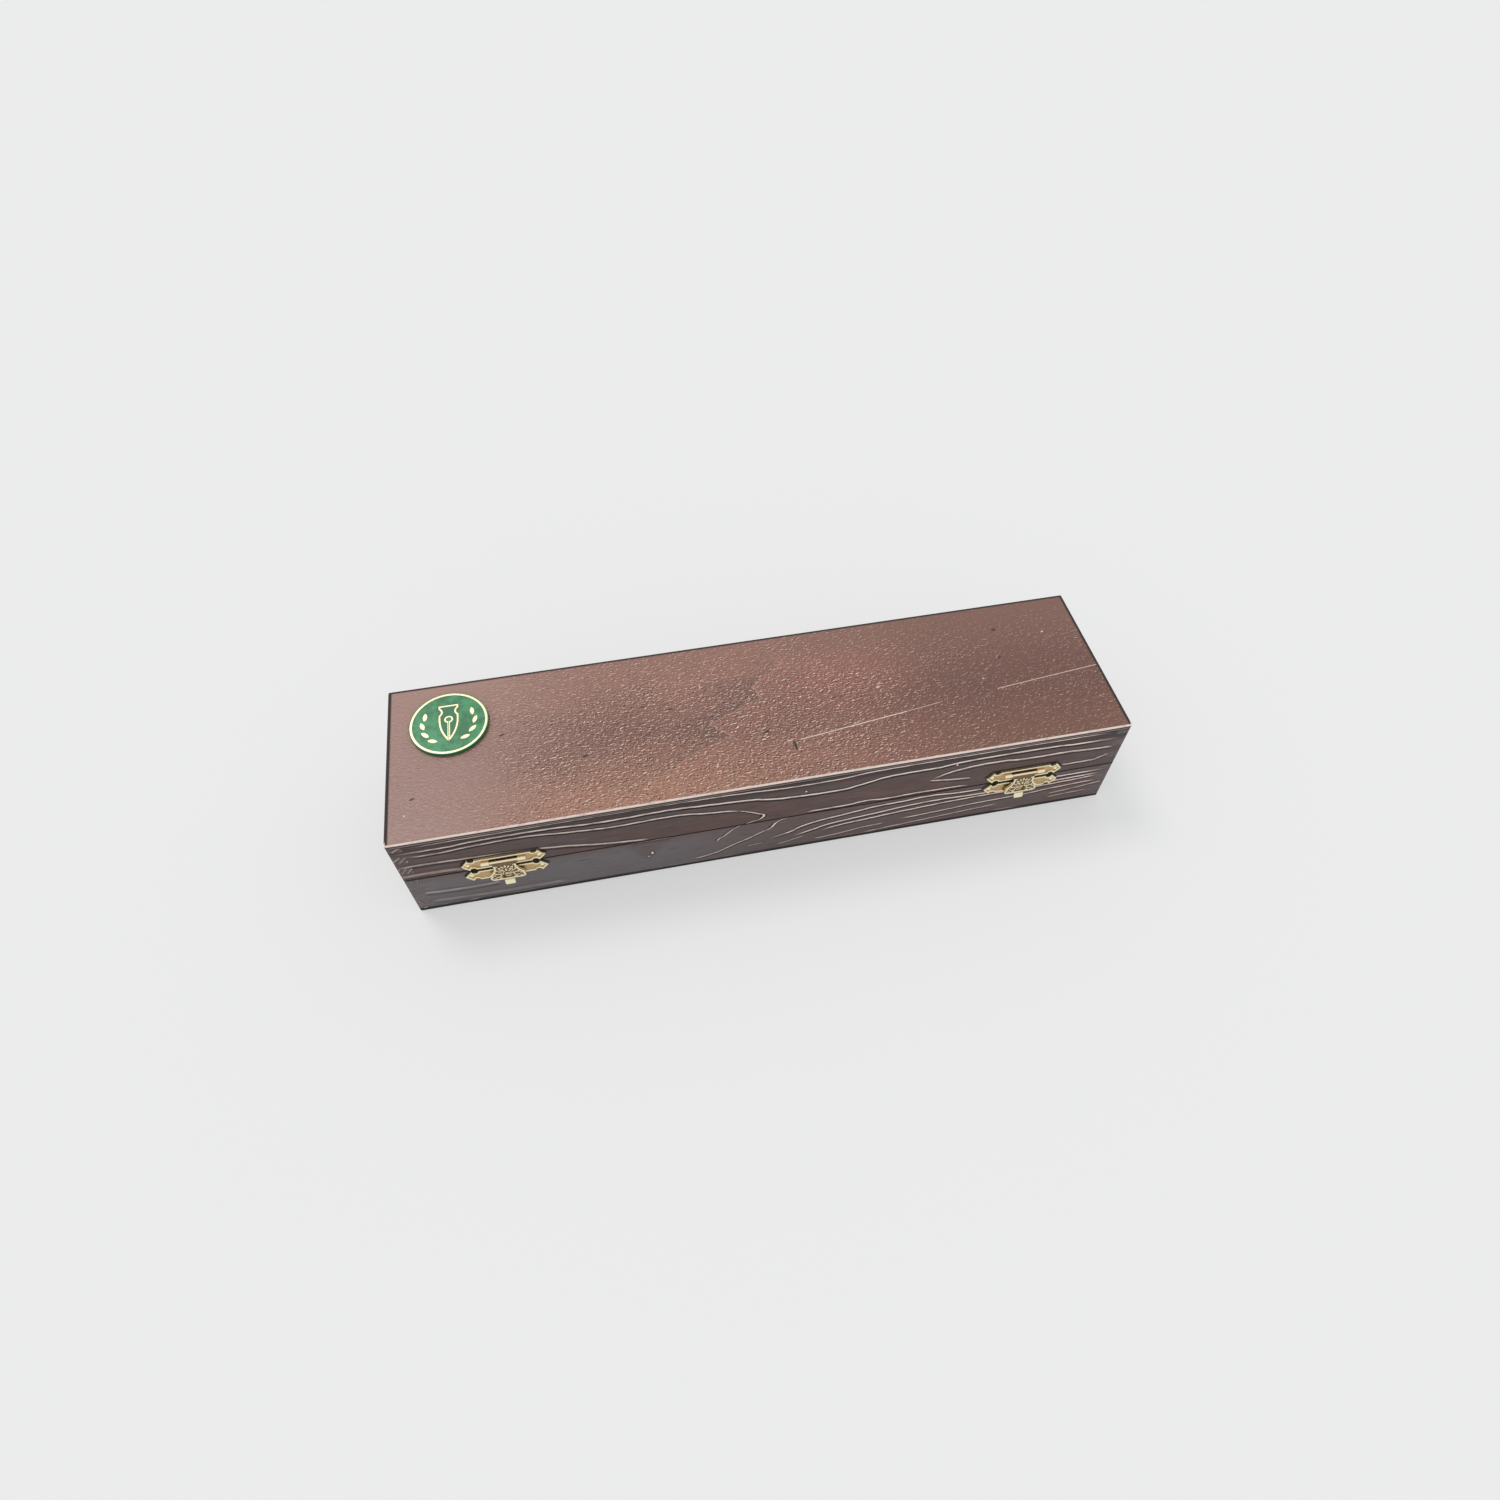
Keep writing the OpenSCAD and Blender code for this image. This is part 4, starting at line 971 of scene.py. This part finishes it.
# Painted shade on the back of the roll, which lies in the recess of the plate, darkened too by old
# polish dried brown
roll_shade_and_dirt = times(tree, ease(tree, spot[1], WIRE_Y - 0.5, WIRE_Y - 0.3, 0.0, 0.92),
               ease(tree, spot[2], WIRE_Z, WIRE_Z + 0.2))
old_colour = shader.inputs["Base Color"].links[0].from_socket
feed(tree, shader.inputs["Base Color"], blend_colour(tree, roll_shade_and_dirt, old_colour, FLAP_TARNISH_AND_SHADE))
for side in ("left", "right"):
    wire_low, wire_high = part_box("clasp_wire_" + side)
    middle = (wire_low + wire_high) / 2 / MM
    flap = make_flap("stamped_flap_" + side, middle.x, middle.z)
    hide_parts("clasp_flap_" + side)
    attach(flap, "flap_" + side)

# -------------------------------------------------------------------- badge
# A round enamel medallion glued to the lid: a gilt rim, and a gilt pen nib
# between two sprays of leaves standing a little proud of green enamel.

BADGE_LOW, BADGE_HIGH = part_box("badge_plate")
BADGE_R = (BADGE_HIGH.x - BADGE_LOW.x) / 2 / MM
BADGE_X = (BADGE_HIGH.x + BADGE_LOW.x) / 2 / MM
BADGE_Y = (BADGE_HIGH.y + BADGE_LOW.y) / 2 / MM
NIB_L = 1.18 * BADGE_R
NIB_W = 0.5 * BADGE_R
NIB_BODY = 0.4 * NIB_L
GILT_LINE = 0.62
ENAMEL_DARK = (0.022, 0.16, 0.062, 1)
ENAMEL = (0.05, 0.29, 0.12, 1)
ENAMEL_PALE = (0.12, 0.42, 0.22, 1)
GILT = (0.74, 0.67, 0.44, 1)
GILT_DULL = (0.5, 0.40, 0.2, 1)
BADGE_EASE = 0.12

gilt = brass_material("badge_gilt", GILT, GILT_DULL, 0.1, 0.34)
tree = gilt.node_tree
shader = tree.nodes["Principled BSDF"]
spot = add(tree, "SeparateXYZ", millimetres(tree)).outputs
side = apart(tree, spot[0], BADGE_X)
along = minus(tree, spot[1], BADGE_Y)
# How far a point lies inside the nib: its tines are two arcs, its body is straight
# with a scallop in each side
tine_l = NIB_L - NIB_BODY
tine_r = (tine_l ** 2 + NIB_W ** 2 / 4) / NIB_W
up = minus(tree, along, NIB_L / 2 - NIB_BODY)
tines = minus(tree, tine_r, reach(tree, plus(tree, side, tine_r - NIB_W / 2), up))
scallop = minus(tree, reach(tree, minus(tree, side, 0.62 * NIB_W),
                            minus(tree, along, NIB_L / 2 - 0.45 * NIB_BODY)), 0.24 * NIB_W)
body = smallest(tree, minus(tree, NIB_W / 2, side), scallop, minus(tree, NIB_L / 2, along))
inside = smallest(tree, body, plus(tree, tines, ease(tree, up, -0.1, 0.1, 0.0, BADGE_R)))
hole = reach(tree, side, up)
field = times(tree, ease(tree, inside, GILT_LINE, GILT_LINE + 0.15), ease(tree, hole, 1.7, 1.85))
field = times(tree, field, largest(tree, ease(tree, side, 0.42, 0.55), ease(tree, up, -0.1, 0.1)))
# Enamel has run over the outer edge of the rim as well
from_middle = reach(tree, side, along)
field = largest(tree, field, ease(tree, from_middle, BADGE_R - 0.45, BADGE_R - 0.3))
old_colour = shader.inputs["Base Color"].links[0].from_socket
feed(tree, shader.inputs["Base Color"], blend_colour(tree, field, old_colour, ENAMEL_DARK))
feed(tree, shader.inputs["Metallic"], minus(tree, 1.0, field))
finish_node("badge_plate", gilt, BADGE_EASE)

enamel, tree, shader = new_material("badge_enamel")
place = millimetres(tree)
cloud = noise(tree, place, 0.22, 3.0, 0.6)
fleck = noise(tree, place, 2.6, 3.0, 0.7)
colour = blend_colour(tree, ease(tree, cloud, 0.35, 0.65), ENAMEL_DARK, ENAMEL)
colour = blend_colour(tree, ease(tree, fleck, 0.6, 0.78, 0.0, 0.5), colour, ENAMEL_PALE)
feed(tree, shader.inputs["Base Color"], colour)
feed(tree, shader.inputs["Roughness"], ease(tree, fleck, 0.3, 0.7, 0.26, 0.4))
raise_surface(tree, shader, 0.3, 0.08, cloud)
finish_node("badge_enamel", enamel)

# ----------------------------------------------------------------- pen tray
# A fluted tray of wood pulp with a hollow for the fingers, covered with dark
# green flock, whose pile rounds every lip.  It is glued into the base.

FLOCK = (0.012, 0.052, 0.028, 1)
FLOCK_PILE = (0.026, 0.085, 0.05, 1)
FLOCK_WORN = (0.05, 0.13, 0.08, 1)
FLOCK_GRID = 1.1 * MM


def settle(piece):
    """Applies a piece's modifiers to its mesh."""
    seen = bpy.context.evaluated_depsgraph_get()
    mesh = bpy.data.meshes.new_from_object(piece.evaluated_get(seen))
    old = piece.data
    piece.modifiers.clear()
    piece.data = mesh
    bpy.data.meshes.remove(old)


flock, tree, shader = new_material("green_flock")
place = millimetres(tree)
pile = noise(tree, place, 3.5, 4.0, 0.7)
brushed = streaks(tree, place, (0.03, 0.09, 0.09), 3.0, 0.6, 0.8)
colour = blend_colour(tree, ease(tree, pile, 0.35, 0.7), FLOCK, FLOCK_PILE)
colour = blend_colour(tree, ease(tree, brushed, 0.45, 0.75, 0.0, 0.55), colour, FLOCK_WORN)
feed(tree, shader.inputs["Base Color"], colour)
shader.inputs["Roughness"].default_value = 0.95
shader.inputs["Specular IOR Level"].default_value = 0.15
shader.inputs["Sheen Weight"].default_value = 0.5
shader.inputs["Sheen Roughness"].default_value = 0.4
raise_surface(tree, shader, 0.6, 0.2, pile)

shape = bmesh.new()
shape.from_mesh(nodes["pen_tray"].data)
bmesh.ops.remove_doubles(shape, verts=shape.verts, dist=0.002 * MM)
tray = finish_mesh("flocked_tray", shape, flock)
pile_coat = tray.modifiers.new("coat", "REMESH")
pile_coat.mode = "VOXEL"
pile_coat.voxel_size = FLOCK_GRID
rounding = tray.modifiers.new("round", "SMOOTH")
rounding.factor = 0.5
rounding.iterations = 5
settle(tray)
for face in tray.data.polygons:
    face.use_smooth = True
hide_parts("pen_tray")
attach(tray, "base")

# ------------------------------------------------------------------ lid pad
# Wadding under green satin, its edges tacked to a board that is glued inside
# the lid, so that it swells downward and keeps the pens from rattling.

SATIN = (0.020, 0.070, 0.042, 1)
SATIN_WORN = (0.032, 0.088, 0.052, 1)
SATIN_SLUB = (0.060, 0.150, 0.095, 1)

pad_cloth, tree, shader = new_material("green_satin")
place = millimetres(tree)
spot = add(tree, "SeparateXYZ", place).outputs
ribs = sums(tree, "SINE", times(tree, spot[0], 14.0))
threads = sums(tree, "SINE", times(tree, spot[1], 11.0))
weave = plus(tree, times(tree, ribs, 0.25), times(tree, threads, 0.4))
age = noise(tree, place, 0.03, 4.0, 0.6)
slub = streaks(tree, place, (0.08, 2.4, 1.0), 2.0, 0.6)
colour = blend_colour(tree, ease(tree, age, 0.35, 0.7), SATIN, SATIN_WORN)
colour = blend_colour(tree, ease(tree, slub, 0.5, 0.72, 0.0, 0.5), colour, SATIN_SLUB)
feed(tree, shader.inputs["Base Color"], colour)
feed(tree, shader.inputs["Roughness"], ease(tree, slub, 0.3, 0.7, 0.42, 0.56))
shader.inputs["Sheen Weight"].default_value = 0.3
shader.inputs["Anisotropic"].default_value = 0.4
raise_surface(tree, shader, 0.35, 0.06, plus(tree, weave, slub))

pad_low, pad_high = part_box("lid_pad")
pad_size = pad_high - pad_low
PAD_BOARD = 2.0 * MM
PAD_START = 6.0 * MM
PAD_MARGIN = 1.5 * MM
PAD_EDGE = 2.2 * MM
PAD_GAP = 0.1 * MM
PAD_GRID = 2.6 * MM
shape = bmesh.new()
bmesh.ops.create_cube(shape, size=1)
bmesh.ops.scale(shape, vec=(pad_size.x - PAD_MARGIN, pad_size.y - PAD_MARGIN, PAD_START),
                verts=shape.verts)
bmesh.ops.translate(shape, vec=((pad_low.x + pad_high.x) / 2, (pad_low.y + pad_high.y) / 2,
                                pad_high.z - PAD_START / 2 - PAD_GAP), verts=shape.verts)
lower = [edge for edge in shape.edges
         if min(v.co.z for v in edge.verts) < pad_high.z - PAD_START / 2]
bmesh.ops.bevel(shape, geom=lower, offset=PAD_EDGE, segments=3, affect="EDGES", profile=0.5,
                material=-1)
pad = finish_mesh("satin_pad", shape, pad_cloth)
even = pad.modifiers.new("even", "REMESH")
even.mode = "VOXEL"
even.voxel_size = PAD_GRID
settle(pad)
start = [v.co.copy() for v in pad.data.vertices]
held = pad.vertex_groups.new(name="tacked")
held.add([v.index for v in pad.data.vertices if v.co.z > pad_high.z - PAD_BOARD], 1.0, "REPLACE")
cloth = pad.modifiers.new("wadding", "CLOTH")
cloth.settings.vertex_group_mass = "tacked"
cloth.settings.quality = 6
cloth.settings.mass = 0.15
cloth.settings.tension_stiffness = 12
cloth.settings.compression_stiffness = 12
cloth.settings.shrink_min = -0.025
cloth.settings.use_pressure = True
cloth.settings.uniform_pressure_force = 4.0
cloth.settings.effector_weights.gravity = 0
for step in range(1, 21):
    bpy.context.scene.frame_set(step)
settle(pad)
bpy.context.scene.frame_set(1)
PAD_LEAST = (pad_low.x, pad_low.y, pad_low.z)
PAD_MOST = (pad_high.x, pad_high.y, pad_high.z - 0.05 * MM)
PAD_SWELL = 5.0 * MM
for vertex, before in zip(pad.data.vertices, start):
    move = vertex.co - before
    if move.length > PAD_SWELL:
        move *= PAD_SWELL / move.length
    vertex.co = [min(max(value, low), high) for value, low, high in
                 zip(before + move, PAD_LEAST, PAD_MOST)]
drawn_flat = pad.modifiers.new("drawn_flat", "SMOOTH")
drawn_flat.factor = 0.5
drawn_flat.iterations = 5
finer = pad.modifiers.new("finer", "SUBSURF")
finer.levels = finer.render_levels = 1
for face in pad.data.polygons:
    face.use_smooth = True
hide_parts("lid_pad")
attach(pad, "lid")
